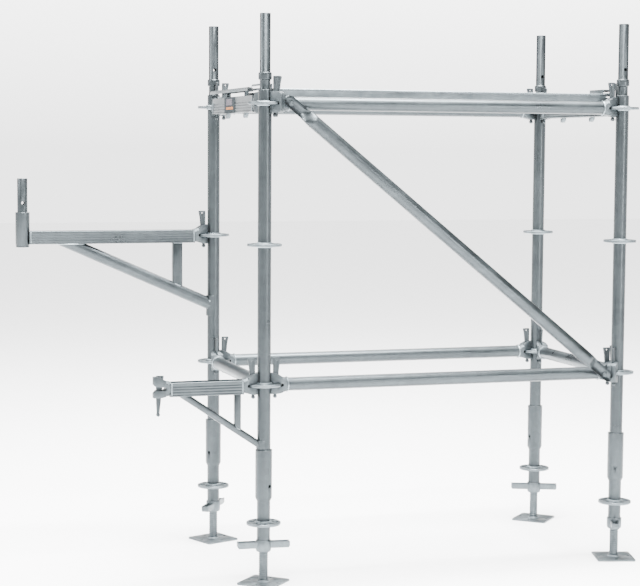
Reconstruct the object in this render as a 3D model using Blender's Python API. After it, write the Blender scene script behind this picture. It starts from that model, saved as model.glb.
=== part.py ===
"""Modular scaffold bay: four standards on screw jacks, ledgers, transoms, a brace, brackets and a deck.

Units are metres, +Z is up. The origin is under the front left base plate, on that standard's axis.
+X runs along the bay, +Y runs from the front row of standards to the rear row.
"""
import math

import bpy
import bmesh
from mathutils import Matrix, Vector

# bay
BAY_LENGTH = 1.400
BAY_WIDTH = 0.732
COLLAR_LEVEL = 0.218
ROSETTE_PITCH = 0.500
LOW_LEVEL = COLLAR_LEVEL + ROSETTE_PITCH
MID_LEVEL = COLLAR_LEVEL + 2 * ROSETTE_PITCH
TOP_LEVEL = COLLAR_LEVEL + 3 * ROSETTE_PITCH

# tubes
TUBE_RADIUS = 0.02415
TUBE_WALL = 0.0032
TUBE_SIDES = 16
ROSETTE_SIDES = 24
VENT_RADIUS = 0.005
VENT_INSET = 0.018
STANDARD_BOTTOM = 0.3103
STANDARD_TOP = 1.766
SPIGOT_RADIUS = 0.0190
SPIGOT_BORE = 0.0162
SPIGOT_TOP = 2.033
SPIGOT_DEPTH = 0.120
SPIGOT_RING_RADIUS = 0.0240
SPIGOT_RING_LOW = 1.800
SPIGOT_RING_HIGH = 1.826
SPIGOT_HOLE_LEVEL = 1.863
SPIGOT_HOLE_RADIUS = 0.0065

# rosettes
ROSETTE_RADIUS = 0.062
ROSETTE_HALF = 0.0047
HOLE_NEAR = 0.0324
HOLE_FAR = 0.0513

# base collar
SLEEVE_RADIUS = 0.0305
SLEEVE_BORE = 0.0248
SLEEVE_TOP = 0.485
SLEEVE_STEP = 0.310
COLLAR_BOTTOM = 0.157
COLLAR_HOLE_LEVEL = 0.355
COLLAR_HOLE_RADIUS = 0.006

# base jack
PLATE_SIDE = 0.145
PLATE_THICKNESS = 0.006
PLATE_CLIP = 0.006
PLATE_HOLE_RADIUS = 0.006
PLATE_HOLE_OFFSET = 0.056
SPINDLE_RADIUS = 0.0170
SPINDLE_ROOT = 0.0156
SPINDLE_TOP = 0.500
THREAD_PITCH = 0.008
THREAD_RINGS = 11
NUT_BOTTOM = 0.115
NUT_TOP = 0.1567
NUT_RADIUS = 0.028
NUT_ARM_REACH = 0.095
NUT_ARM_WIDTH = 0.029

# wedge heads
HEAD_GAP_RADIUS = 0.0246
HEAD_BACK = 0.084
HEAD_HALF_WIDTH = 0.024
HEAD_TOP = 0.042
HEAD_BOTTOM = 0.033
JAW_GAP = 0.0063
SLOT_NEAR = 0.0331
SLOT_FAR = 0.0616
LOW_SLOT_FAR = 0.0560
SLOT_HALF = 0.0034
LOW_SLOT_HALF = 0.0066
WEDGE_CENTRE = 0.044
WEDGE_HALF = 0.003
WEDGE_RISE = 0.008
LOOSE_WEDGE_DROP = 0.042

# open channel beams
BEAM_HALF = 0.0245
BEAM_LOW = -0.029
BEAM_HIGH = 0.021
TRANSOM_HIGH = 0.031
BEAM_WALL = 0.0035
RIB = 0.0009

# brace
BRACE_OFFSET_X = 0.080
BRACE_OFFSET_Y = -0.0650
BRACE_CUP_HALF = 0.0205
BRACE_CUP_END = 0.028
LUG_FACE = -0.0490

# large bracket
LARGE_REACH = 0.750
LARGE_POST_RADIUS = 0.027
LARGE_DROP = 0.279
LARGE_BRACE_AT = 0.575
LARGE_STRUT_AT = 0.147

# small bracket
SMALL_REACH = 0.4246
SMALL_DROP = 0.214
SMALL_BRACE_AT = 0.297
SMALL_STRUT_AT = 0.098

# deck and lids
DECK_NEAR = 0.047
DECK_FAR = 0.233
DECK_END = 0.044
DECK_LOW = 0.0225
DECK_HIGH = 0.0550
DECK_SHEET = 0.0022
DECK_CREST = 0.072
CREST_NEAR = 0.072
CREST_FAR = 0.182
LID_NEAR = 0.2405
LID_FAR = 0.664
LID_TONGUE_NEAR = 0.148
LID_TONGUE_FAR = 0.696
LID_TONGUE_EDGE = 0.006
LID_LOW = 0.0485
LID_HIGH = 0.0615
LID_HALF = 0.0235
STRAP_SPOTS = (0.2465, 0.501)

POSTS = {
    "front_left": (0.0, 0.0),
    "front_right": (BAY_LENGTH, 0.0),
    "rear_left": (0.0, BAY_WIDTH),
    "rear_right": (BAY_LENGTH, BAY_WIDTH),
}
COLLAR_TURN = {"front_left": -61, "front_right": 62, "rear_left": -137, "rear_right": -158}
PLATE_TURN = {"front_left": -43, "front_right": -16, "rear_left": 22, "rear_right": -43}
NUT_TURN = {"front_left": -6, "front_right": 66, "rear_left": 56, "rear_right": -22}

for old in list(bpy.data.objects):
    bpy.data.objects.remove(old, do_unlink=True)


def metal(name, colour, roughness, metallic):
    """Return a Principled material."""
    material = bpy.data.materials.new(name)
    material.use_nodes = True
    shader = material.node_tree.nodes["Principled BSDF"]
    shader.inputs["Base Color"].default_value = (*colour, 1.0)
    shader.inputs["Roughness"].default_value = roughness
    shader.inputs["Metallic"].default_value = metallic
    material.diffuse_color = (*colour, 1.0)
    return material


TUBE_STEEL = metal("galvanised_tube", (0.50, 0.53, 0.55), 0.42, 0.85)
PLATE_STEEL = metal("galvanised_plate", (0.55, 0.58, 0.60), 0.45, 0.80)
CAST_STEEL = metal("galvanised_casting", (0.46, 0.49, 0.51), 0.55, 0.75)
WEDGE_STEEL = metal("wedge_steel", (0.38, 0.41, 0.43), 0.50, 0.80)
THREAD_STEEL = metal("spindle_steel", (0.48, 0.50, 0.51), 0.38, 0.90)
TAG_PLASTIC = metal("tag_plastic", (0.10, 0.13, 0.15), 0.50, 0.0)


def to_mesh(work, name):
    """Close a bmesh off as a mesh with outward faces."""
    bmesh.ops.recalc_face_normals(work, faces=work.faces)
    mesh = bpy.data.meshes.new(name)
    work.to_mesh(mesh)
    work.free()
    return mesh


def lathe(profile, sides, name="turned"):
    """Turn (radius, height) points about Z; a profile off the axis closes on itself."""
    work = bmesh.new()
    solid = profile[0][0] == 0.0
    rings = []
    for radius, height in profile:
        if radius == 0.0:
            rings.append([work.verts.new((0.0, 0.0, height))])
            continue
        ring = []
        for step in range(sides):
            angle = 2.0 * math.pi * step / sides
            ring.append(work.verts.new((radius * math.cos(angle), radius * math.sin(angle), height)))
        rings.append(ring)
    pairs = list(zip(rings, rings[1:]))
    if not solid:
        pairs.append((rings[-1], rings[0]))
    for low, high in pairs:
        if len(low) == 1:
            work.faces.new(list(reversed(high)))
            continue
        if len(high) == 1:
            work.faces.new(low)
            continue
        for step in range(sides):
            after = (step + 1) % sides
            work.faces.new((low[step], low[after], high[after], high[step]))
    if solid:
        loose = [vert for vert in work.verts if not vert.link_faces]
        bmesh.ops.delete(work, geom=loose, context="VERTS")
    return to_mesh(work, name)


def prism(outline, low, high, axis="Z", name="prism"):
    """Extrude a flat outline between two heights along one axis."""
    work = bmesh.new()
    bottom = []
    top = []
    for first, second in outline:
        if axis == "Z":
            ends = ((first, second, low), (first, second, high))
        elif axis == "Y":
            ends = ((first, low, second), (first, high, second))
        else:
            ends = ((low, first, second), (high, first, second))
        bottom.append(work.verts.new(ends[0]))
        top.append(work.verts.new(ends[1]))
    work.faces.new(bottom)
    work.faces.new(list(reversed(top)))
    count = len(outline)
    for step in range(count):
        after = (step + 1) % count
        work.faces.new((bottom[step], top[step], top[after], bottom[after]))
    return to_mesh(work, name)


def box(low, high, name="box"):
    """Return a box mesh between two corners."""
    outline = [(low[0], low[1]), (high[0], low[1]), (high[0], high[1]), (low[0], high[1])]
    return prism(outline, low[2], high[2], "Z", name)


def rod(start, end, radius, sides, name="rod"):
    """Return a solid round bar between two points."""
    direction = Vector(end) - Vector(start)
    reach = direction.length
    mesh = lathe([(0.0, 0.0), (radius, 0.0), (radius, reach), (0.0, reach)], sides, name)
    turn = Vector((0.0, 0.0, 1.0)).rotation_difference(direction.normalized()).to_matrix().to_4x4()
    mesh.transform(Matrix.Translation(start) @ turn)
    return mesh


def moved(mesh, location=(0.0, 0.0, 0.0), degrees=0.0):
    """Return a copy of a mesh turned about Z and then shifted."""
    result = mesh.copy()
    result.transform(Matrix.Translation(location) @ Matrix.Rotation(math.radians(degrees), 4, "Z"))
    return result


def mirrored(mesh):
    """Return a copy of a mesh mirrored in X with its faces still outward."""
    work = bmesh.new()
    work.from_mesh(mesh)
    bmesh.ops.scale(work, vec=(-1.0, 1.0, 1.0), verts=work.verts)
    return to_mesh(work, mesh.name + "_mirrored")


def gathered(meshes, name="gathered"):
    """Put separate solids that do not touch into one mesh."""
    work = bmesh.new()
    for mesh in meshes:
        work.from_mesh(mesh)
    return to_mesh(work, name)


def combined(base, tool, operation):
    """Apply one exact boolean and return the tidied mesh."""
    base_object = bpy.data.objects.new("boolean_base", base)
    tool_object = bpy.data.objects.new("boolean_tool", tool)
    bpy.context.scene.collection.objects.link(base_object)
    bpy.context.scene.collection.objects.link(tool_object)
    tool_object.display_type = "WIRE"
    tool_object.hide_render = True
    modifier = base_object.modifiers.new("combine", "BOOLEAN")
    modifier.operation = operation
    modifier.solver = "EXACT"
    modifier.object = tool_object
    bpy.context.view_layer.update()
    graph = bpy.context.evaluated_depsgraph_get()
    mesh = bpy.data.meshes.new_from_object(base_object.evaluated_get(graph))
    bpy.data.objects.remove(base_object, do_unlink=True)
    bpy.data.objects.remove(tool_object, do_unlink=True)
    work = bmesh.new()
    work.from_mesh(mesh)
    bmesh.ops.remove_doubles(work, verts=work.verts, dist=0.00002)
    bmesh.ops.dissolve_degenerate(work, edges=work.edges, dist=0.00002)
    bmesh.ops.dissolve_limit(work, angle_limit=math.radians(0.3), verts=work.verts, edges=work.edges)
    wide = [face for face in work.faces if len(face.verts) > 4]
    bmesh.ops.triangulate(work, faces=wide, ngon_method="EAR_CLIP")
    return to_mesh(work, base.name)


def welded(meshes, name):
    """Fuse overlapping solids into one body."""
    result = meshes[0]
    for mesh in meshes[1:]:
        result = combined(result, mesh, "UNION")
    result.name = name
    return result


def hollowed(mesh, start, end, radius):
    """Bore a closed tube out between two points and open it with a vent hole near each end."""
    run = (Vector(end) - Vector(start)).normalized()
    bore = rod(start, end, radius, TUBE_SIDES)
    vents = []
    for spot in (Vector(start) + VENT_INSET * run, Vector(end) - VENT_INSET * run):
        vents.append(rod(spot, spot - Vector((0.0, 0.0, 0.045)), VENT_RADIUS, 6))
    return combined(mesh, welded([bore] + vents, "hollow"), "DIFFERENCE")


def place(name, mesh, material, location=(0.0, 0.0, 0.0), degrees=0.0):
    """Put a mesh in the scene as one named part."""
    item = bpy.data.objects.new(name, mesh)
    bpy.context.scene.collection.objects.link(item)
    item.location = location
    item.rotation_euler = (0.0, 0.0, math.radians(degrees))
    if not mesh.materials:
        mesh.materials.append(material)
        mesh.shade_smooth()
        mesh.set_sharp_from_angle(angle=math.radians(35.0))
    return item


def rosette_holes(level):
    """Four small holes on the X and Y axes and four wide ones on the diagonals."""
    holes = []
    middle = (HOLE_NEAR + HOLE_FAR) / 2.0
    small = [(HOLE_NEAR, -0.0070), (middle, -0.0092), (HOLE_FAR, -0.0070)]
    wide = [(HOLE_NEAR, -0.0078), (HOLE_FAR - 0.004, -0.0150), (HOLE_FAR + 0.001, -0.0110)]
    for quarter in range(8):
        half = small if quarter % 2 == 0 else wide
        outline = half + [(radius, -side) for radius, side in reversed(half)]
        hole = prism(outline, level - 0.008, level + 0.008)
        holes.append(moved(hole, degrees=45.0 * quarter))
    return holes


def rosette(level):
    """Flat ring let halfway into the tube wall, where it is welded."""
    low = level - ROSETTE_HALF
    high = level + ROSETTE_HALF
    inner = TUBE_RADIUS - TUBE_WALL / 2.0
    ring = lathe([(inner, low), (ROSETTE_RADIUS, low), (ROSETTE_RADIUS, high), (inner, high)], ROSETTE_SIDES)
    return combined(ring, gathered(rosette_holes(level)), "DIFFERENCE")


def make_standard():
    """Vertical tube with three rosettes."""
    bore = TUBE_RADIUS - TUBE_WALL
    profile = [
        (bore, STANDARD_BOTTOM),
        (TUBE_RADIUS, STANDARD_BOTTOM),
        (TUBE_RADIUS, STANDARD_TOP),
        (bore, STANDARD_TOP),
    ]
    rings = [rosette(level) for level in (LOW_LEVEL, MID_LEVEL, TOP_LEVEL)]
    return welded([lathe(profile, TUBE_SIDES)] + rings, "standard")


def make_collar():
    """Lower tube with one rosette and a wider sleeve that takes the standard."""
    bore = TUBE_RADIUS - TUBE_WALL
    profile = [
        (bore, COLLAR_BOTTOM),
        (TUBE_RADIUS, COLLAR_BOTTOM),
        (TUBE_RADIUS, SLEEVE_STEP - 0.012),
        (SLEEVE_RADIUS, SLEEVE_STEP + 0.002),
        (SLEEVE_RADIUS, SLEEVE_TOP),
        (SLEEVE_BORE, SLEEVE_TOP),
        (SLEEVE_BORE, SLEEVE_STEP),
        (bore, SLEEVE_STEP),
    ]
    pin = rod((-0.04, 0.0, COLLAR_HOLE_LEVEL), (0.04, 0.0, COLLAR_HOLE_LEVEL), COLLAR_HOLE_RADIUS, 8)
    body = combined(lathe(profile, TUBE_SIDES), pin, "DIFFERENCE")
    return welded([body, rosette(COLLAR_LEVEL)], "collar")


def make_spigot(bottom, top, ring_low, ring_high, hole_level, name):
    """Joint pin for the next standard: insert, ring and cross hole."""
    insert = TUBE_RADIUS - TUBE_WALL - 0.0003
    shoulder = STANDARD_TOP - ring_low
    profile = [
        (SPIGOT_BORE, bottom),
        (insert, bottom),
        (insert, ring_low + shoulder - 0.004),
        (SPIGOT_RADIUS, ring_low + shoulder),
        (SPIGOT_RADIUS, ring_low),
        (SPIGOT_RING_RADIUS, ring_low + 0.003),
        (SPIGOT_RING_RADIUS, ring_high),
        (SPIGOT_RADIUS, ring_high),
        (SPIGOT_RADIUS, top),
        (SPIGOT_BORE, top),
    ]
    pin = rod((0.0, -0.04, hole_level), (0.0, 0.04, hole_level), SPIGOT_HOLE_RADIUS, 8)
    return combined(lathe(profile, TUBE_SIDES, name), pin, "DIFFERENCE")


def make_jack():
    """Base plate with a threaded spindle welded on."""
    half = PLATE_SIDE / 2.0
    edge = half - PLATE_CLIP
    outline = []
    for side_x, side_y in ((1, -1), (1, 1), (-1, 1), (-1, -1)):
        corner = [(side_x * edge, side_y * half), (side_x * half, side_y * edge)]
        if side_x * side_y > 0:
            corner.reverse()
        outline += corner
    plate = prism(outline, 0.0, PLATE_THICKNESS, "Z", "jack")
    holes = []
    for quarter in range(4):
        hole = prism(ring_points(PLATE_HOLE_RADIUS, 8), -0.01, 0.02)
        hole = moved(hole, (PLATE_HOLE_OFFSET, 0.0, 0.0))
        holes.append(moved(hole, degrees=90.0 * quarter))
    plate = combined(plate, gathered(holes), "DIFFERENCE")
    profile = [(0.0, 0.002), (0.022, 0.002), (0.022, PLATE_THICKNESS + 0.001), (SPINDLE_ROOT, 0.012)]
    for ring in range(THREAD_RINGS):
        base = 0.016 + THREAD_PITCH * ring
        profile += [(SPINDLE_ROOT, base), (SPINDLE_RADIUS, base + THREAD_PITCH / 2.0)]
    profile += [(SPINDLE_ROOT, base + THREAD_PITCH), (SPINDLE_RADIUS, base + 1.5 * THREAD_PITCH)]
    profile += [(SPINDLE_RADIUS, SPINDLE_TOP), (0.0, SPINDLE_TOP)]
    return welded([plate, lathe(profile, 10, "spindle")], "jack")


def ring_points(radius, sides):
    """Corner points of a regular outline."""
    points = []
    for step in range(sides):
        angle = 2.0 * math.pi * (step + 0.5) / sides
        points.append((radius * math.cos(angle), radius * math.sin(angle)))
    return points


def make_nut():
    """Cast jack nut with two channel arms."""
    body = lathe(
        [
            (0.0245, NUT_BOTTOM),
            (NUT_RADIUS, NUT_BOTTOM + 0.005),
            (NUT_RADIUS, NUT_TOP),
            (SPINDLE_RADIUS + 0.0006, NUT_TOP),
            (SPINDLE_RADIUS + 0.0006, NUT_BOTTOM),
        ],
        14,
        "nut",
    )
    half = NUT_ARM_WIDTH / 2.0
    low = 0.128
    section = [
        (-half, low),
        (half, low),
        (half, low + 0.023),
        (half - 0.005, low + 0.023),
        (half - 0.008, low + 0.008),
        (8e-3 - half, low + 0.008),
        (5e-3 - half, low + 0.023),
        (-half, low + 0.023),
    ]
    arms = []
    for degrees in (0.0, 180.0):
        arm = prism(section, 0.0215, NUT_ARM_REACH, "X", "arm")
        arms.append(moved(arm, degrees=degrees))
    return welded([body] + arms, "nut")


def head_blank(back, half_width, profile_tail):
    """Casting blank: side profile trimmed to its sector plan."""
    side = [
        (0.0310, JAW_GAP),
        (0.0200, 0.0180),
        (0.0200, HEAD_TOP),
    ]
    side += profile_tail
    side += [
        (0.0200, -HEAD_BOTTOM),
        (0.0200, -0.0180),
        (0.0310, -JAW_GAP),
        (0.0600, -JAW_GAP),
        (0.0645, -0.0052),
        (0.0670, -0.0025),
        (0.0670, 0.0025),
        (0.0645, 0.0052),
        (0.0600, JAW_GAP),
    ]
    flare = half_width / 0.40
    plan = [
        (0.018, -0.0072),
        (flare, -half_width),
        (back + 0.001, -half_width),
        (back + 0.001, half_width),
        (flare, half_width),
        (0.018, 0.0072),
    ]
    blank = combined(prism(side, -0.030, 0.030, "Y", "head"), prism(plan, -0.06, 0.07), "INTERSECT")
    post = lathe([(0.0, -0.08), (HEAD_GAP_RADIUS, -0.08), (HEAD_GAP_RADIUS, 0.08), (0.0, 0.08)], 20)
    return combined(blank, post, "DIFFERENCE")


def slotted(mesh):
    """Cut the wedge slots through both jaws of a head at the origin."""
    upper = box((SLOT_NEAR, -SLOT_HALF, 0.0), (SLOT_FAR, SLOT_HALF, 0.060))
    lower = box((SLOT_NEAR, -LOW_SLOT_HALF, -0.050), (LOW_SLOT_FAR, LOW_SLOT_HALF, 0.0))
    mesh = combined(mesh, upper, "DIFFERENCE")
    return combined(mesh, lower, "DIFFERENCE")


def make_head():
    """Wedge head of a ledger or beam, post axis at the origin, member towards +X."""
    tail = [
        (0.0400, HEAD_TOP),
        (0.0520, 0.0372),
        (0.0640, 0.0290),
        (0.0740, 0.0248),
        (HEAD_BACK, 0.0240),
        (HEAD_BACK, -0.0240),
        (0.0660, -0.0265),
        (0.0420, -HEAD_BOTTOM),
    ]
    return slotted(head_blank(HEAD_BACK, HEAD_HALF_WIDTH, tail))


def make_brace_head():
    """Head that carries the brace pivot, for a post whose brace leaves towards -X."""
    tail = [
        (0.0580, HEAD_TOP),
        (0.0740, 0.0340),
        (0.0740, -0.0260),
        (0.0600, -HEAD_BOTTOM),
    ]
    blank = head_blank(0.074, 0.017, tail)
    blank = moved(slotted(blank), degrees=225.0)
    blank = combined(blank, box((-0.120, -0.090, -0.060), (-0.0515, LUG_FACE, 0.060)), "DIFFERENCE")
    outline = [
        (-0.0530, -0.0190),
        (-0.0960, -0.0140),
        (-0.1020, 0.0000),
        (-0.0960, 0.0140),
        (-0.0530, 0.0190),
    ]
    lug = prism(outline, LUG_FACE, -0.0370, "Y", "lug")
    centre = -BRACE_OFFSET_X
    pin = rod((centre, LUG_FACE + 0.004, 0.0), (centre, -0.0600, 0.0), 0.0065, 12)
    cap = rod((centre, -0.0570, 0.0), (centre, -0.0620, 0.0), 0.0115, 12)
    return welded([blank, lug, pin, cap], "brace_head")


def make_wedge():
    """Flat wedge with a flared top and a rivet through its tail."""
    outline = [
        (-0.0080, -0.0520),
        (0.0010, -0.0520),
        (0.0110, 0.0420),
        (0.0170, 0.0800),
        (0.0165, 0.0860),
        (0.0140, 0.0880),
        (-0.0090, 0.0880),
        (-0.0105, 0.0860),
        (-0.0105, -0.0100),
    ]
    plate = prism(outline, -WEDGE_HALF, WEDGE_HALF, "Y", "wedge")
    hole = rod((0.0030, -0.02, 0.0790), (0.0030, 0.02, 0.0790), 0.0028, 6)
    plate = combined(plate, hole, "DIFFERENCE")
    rivet = rod((-0.0035, -0.0058, -0.0495), (-0.0035, 0.0058, -0.0495), 0.0066, 10)
    return welded([plate, rivet], "wedge")


def make_ledger(length, head, name):
    """Round ledger with a wedge head welded to each end."""
    bar = rod((HEAD_BACK - 0.006, 0.0, 0.0), (length - HEAD_BACK + 0.006, 0.0, 0.0), TUBE_RADIUS, TUBE_SIDES)
    far = moved(head, (length, 0.0, 0.0), 180.0)
    body = welded([bar, head, far], name)
    inset = HEAD_BACK + 0.004
    body = hollowed(body, (inset, 0.0, 0.0), (length - inset, 0.0, 0.0), TUBE_RADIUS - TUBE_WALL)
    body.name = name
    return body


def beam_section(high):
    """Open channel outline with four shallow ribs on each web."""
    outer = [(BEAM_HALF, high)]
    for foot in (0.037, 0.028, 0.018, 0.008):
        centre = BEAM_LOW + foot
        outer.append((BEAM_HALF, centre + 0.0035))
        outer.append((BEAM_HALF - RIB, centre))
        outer.append((BEAM_HALF, centre - 0.0035))
    outer.append((BEAM_HALF, BEAM_LOW + 0.003))
    outer.append((BEAM_HALF - 0.003, BEAM_LOW))
    inner = BEAM_HALF - BEAM_WALL
    floor = BEAM_LOW + BEAM_WALL
    right = outer
    left = [(-side, height) for side, height in reversed(outer)]
    return right + left + [(-inner, high), (-inner, floor), (inner, floor), (inner, high)]


def make_beam(start, end, high=BEAM_HIGH):
    """Channel along X, closed by an end plate at each end."""
    body = prism(beam_section(high), start, end, "X", "beam")
    inner = BEAM_HALF - 0.002
    plates = []
    for low in (start, end - 0.004):
        outline = [(-inner, BEAM_LOW + 0.002), (inner, BEAM_LOW + 0.002), (inner, high), (-inner, high)]
        plates.append(prism(outline, low, low + 0.004, "X"))
    return welded([body] + plates, "beam")


def make_transom(head):
    """Top transom: open channel between two heads, floor slots for the lid straps."""
    beam = make_beam(HEAD_BACK - 0.004, BAY_WIDTH - HEAD_BACK + 0.004, TRANSOM_HIGH)
    far = moved(head, (BAY_WIDTH, 0.0, 0.0), 180.0)
    body = welded([beam, head, far], "transom")
    slots = []
    for spot in STRAP_SPOTS:
        slots.append(box((spot - 0.0360, -0.0100, -0.040), (spot + 0.0080, 0.0100, -0.020)))
    return combined(body, gathered(slots), "DIFFERENCE")


def bevelled_bar(start, end, half_x, half_y):
    """Upright flat-sided bar between two heights at the origin."""
    clip = min(half_x, half_y) * 0.4
    outline = [
        (half_x, -half_y + clip),
        (half_x, half_y - clip),
        (half_x - clip, half_y),
        (clip - half_x, half_y),
        (-half_x, half_y - clip),
        (-half_x, clip - half_y),
        (clip - half_x, -half_y),
        (half_x - clip, -half_y),
    ]
    return prism(outline, start, end, "Z", "bar")


def make_saddle(level, height, outer):
    """Half shell that rests on the post below a bracket, open towards -X."""
    shell = lathe(
        [
            (HEAD_GAP_RADIUS, level - height / 2.0),
            (outer, level - height / 2.0),
            (outer, level + height / 2.0),
            (HEAD_GAP_RADIUS, level + height / 2.0),
        ],
        20,
        "saddle",
    )
    return combined(shell, box((-0.06, -0.06, level - 0.1), (0.0045, 0.06, level + 0.1)), "DIFFERENCE")


def post_space(level):
    """Space kept free for the post around a saddle."""
    radius = HEAD_GAP_RADIUS
    low = level - 0.15
    high = level + 0.15
    return lathe([(0.0, low), (radius, low), (radius, high), (0.0, high)], 20)


def make_large_bracket(head):
    """Bracket that carries an outer standard: beam, brace, strut, saddle and end post."""
    near_post = LARGE_REACH - LARGE_POST_RADIUS + 0.003
    beam = make_beam(HEAD_BACK - 0.004, near_post)
    end = Vector((0.010, 0.0, -LARGE_DROP + 0.004))
    corner = Vector((LARGE_BRACE_AT, 0.0, BEAM_LOW + 0.004))
    start = corner + (corner - end) * 0.2
    brace = rod(start, end, 0.0235, 16)
    over = box((0.0, -0.05, BEAM_LOW + 0.0025), (0.8, 0.05, 0.1))
    brace = combined(brace, over, "DIFFERENCE")
    brace = combined(brace, post_space(-LARGE_DROP), "DIFFERENCE")
    bore_start = start.lerp(end, 0.30)
    bore_end = start.lerp(end, 0.90)
    brace = hollowed(brace, bore_start, bore_end, 0.0235 - TUBE_WALL)
    saddle = make_saddle(-LARGE_DROP, 0.080, 0.0295)
    slope = (start.z - end.z) / (start.x - end.x)
    foot = end.z + slope * (LARGE_STRUT_AT - end.x)
    strut = moved(bevelled_bar(foot, BEAM_LOW + 0.002, 0.0190, 0.0150), (LARGE_STRUT_AT, 0.0, 0.0))
    bore = 0.0200
    end_post = lathe(
        [
            (bore, -0.040),
            (LARGE_POST_RADIUS - 0.0012, -0.040),
            (LARGE_POST_RADIUS - 0.0012, -0.030),
            (LARGE_POST_RADIUS, -0.028),
            (LARGE_POST_RADIUS, 0.093),
            (bore, 0.093),
        ],
        TUBE_SIDES,
        "end_post",
    )
    end_post = moved(end_post, (LARGE_REACH, 0.0, 0.0))
    return welded([beam, head, brace, saddle, strut, end_post], "large_bracket")


def make_small_bracket(head):
    """Bracket that ends in an outward wedge head."""
    beam = make_beam(HEAD_BACK - 0.004, SMALL_REACH - HEAD_BACK + 0.004)
    outer = moved(head, (SMALL_REACH, 0.0, 0.0), 180.0)
    end = Vector((0.010, 0.0, -SMALL_DROP - 0.006))
    corner = Vector((SMALL_BRACE_AT, 0.0, BEAM_LOW + 0.003))
    start = corner + (corner - end) * 0.013
    brace = rod(start, end, 0.0125, 12)
    over = box((0.0, -0.05, BEAM_LOW + 0.0025), (0.5, 0.05, 0.1))
    brace = combined(brace, over, "DIFFERENCE")
    brace = combined(brace, post_space(-SMALL_DROP), "DIFFERENCE")
    saddle = make_saddle(-SMALL_DROP, 0.030, 0.0285)
    slope = (start.z - end.z) / (start.x - end.x)
    foot = end.z + slope * (SMALL_STRUT_AT - end.x)
    strut = moved(bevelled_bar(foot, BEAM_LOW + 0.002, 0.0120, 0.0100), (SMALL_STRUT_AT, 0.0, 0.0))
    return welded([beam, head, outer, brace, saddle, strut], "small_bracket")


def brace_ring(work, along, share, half_width, centre):
    """One closed section of the brace: share 0 is a round tube, share 1 a pressed cup."""
    ring = []
    count = 16
    for step in range(count):
        angle = 2.0 * math.pi * step / count
        across = math.cos(angle)
        depth = math.sin(angle)
        round_w = TUBE_RADIUS * across
        round_y = centre + TUBE_RADIUS * depth
        cup_w = half_width * across
        bowl = 0.0150 * (1.0 - math.sqrt(max(0.0, 1.0 - (0.93 * across) ** 2)))
        cup_y = LUG_FACE - 0.0004 - bowl
        if depth < 0.0:
            cup_y -= 0.0042 * min(1.0, -depth * 1.6)
        width = round_w + (cup_w - round_w) * share
        forward = round_y + (cup_y - round_y) * share
        ring.append(work.verts.new((along, forward, width)))
    return ring


def make_brace():
    """Round brace pressed into an open cup at each end; local X runs down the brace."""
    length = math.hypot(BAY_LENGTH - 2.0 * BRACE_OFFSET_X, TOP_LEVEL - LOW_LEVEL)
    stations = [
        (-BRACE_CUP_END, 1.0, 0.0110),
        (-0.0160, 1.0, BRACE_CUP_HALF),
        (0.0350, 1.0, BRACE_CUP_HALF),
        (0.0620, 0.65, BRACE_CUP_HALF),
        (0.1000, 0.0, BRACE_CUP_HALF),
    ]
    spots = stations + [(length - along, share, half) for along, share, half in reversed(stations)]
    work = bmesh.new()
    rings = []
    for along, share, half in spots:
        rings.append(brace_ring(work, along, share, half, BRACE_OFFSET_Y))
    for low, high in zip(rings, rings[1:]):
        for step in range(len(low)):
            after = (step + 1) % len(low)
            work.faces.new((low[step], low[after], high[after], high[step]))
    work.faces.new(rings[0])
    work.faces.new(list(reversed(rings[-1])))
    bmesh.ops.triangulate(work, faces=work.faces)
    body = to_mesh(work, "brace")
    holes = []
    for along in (0.0, length):
        holes.append(rod((along, -0.09, 0.0), (along, -0.04, 0.0), 0.0072, 12))
    body = combined(body, gathered(holes), "DIFFERENCE")
    bore_start = (0.1050, BRACE_OFFSET_Y, 0.0)
    bore_end = (length - 0.1050, BRACE_OFFSET_Y, 0.0)
    return hollowed(body, bore_start, bore_end, TUBE_RADIUS - TUBE_WALL)


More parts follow.
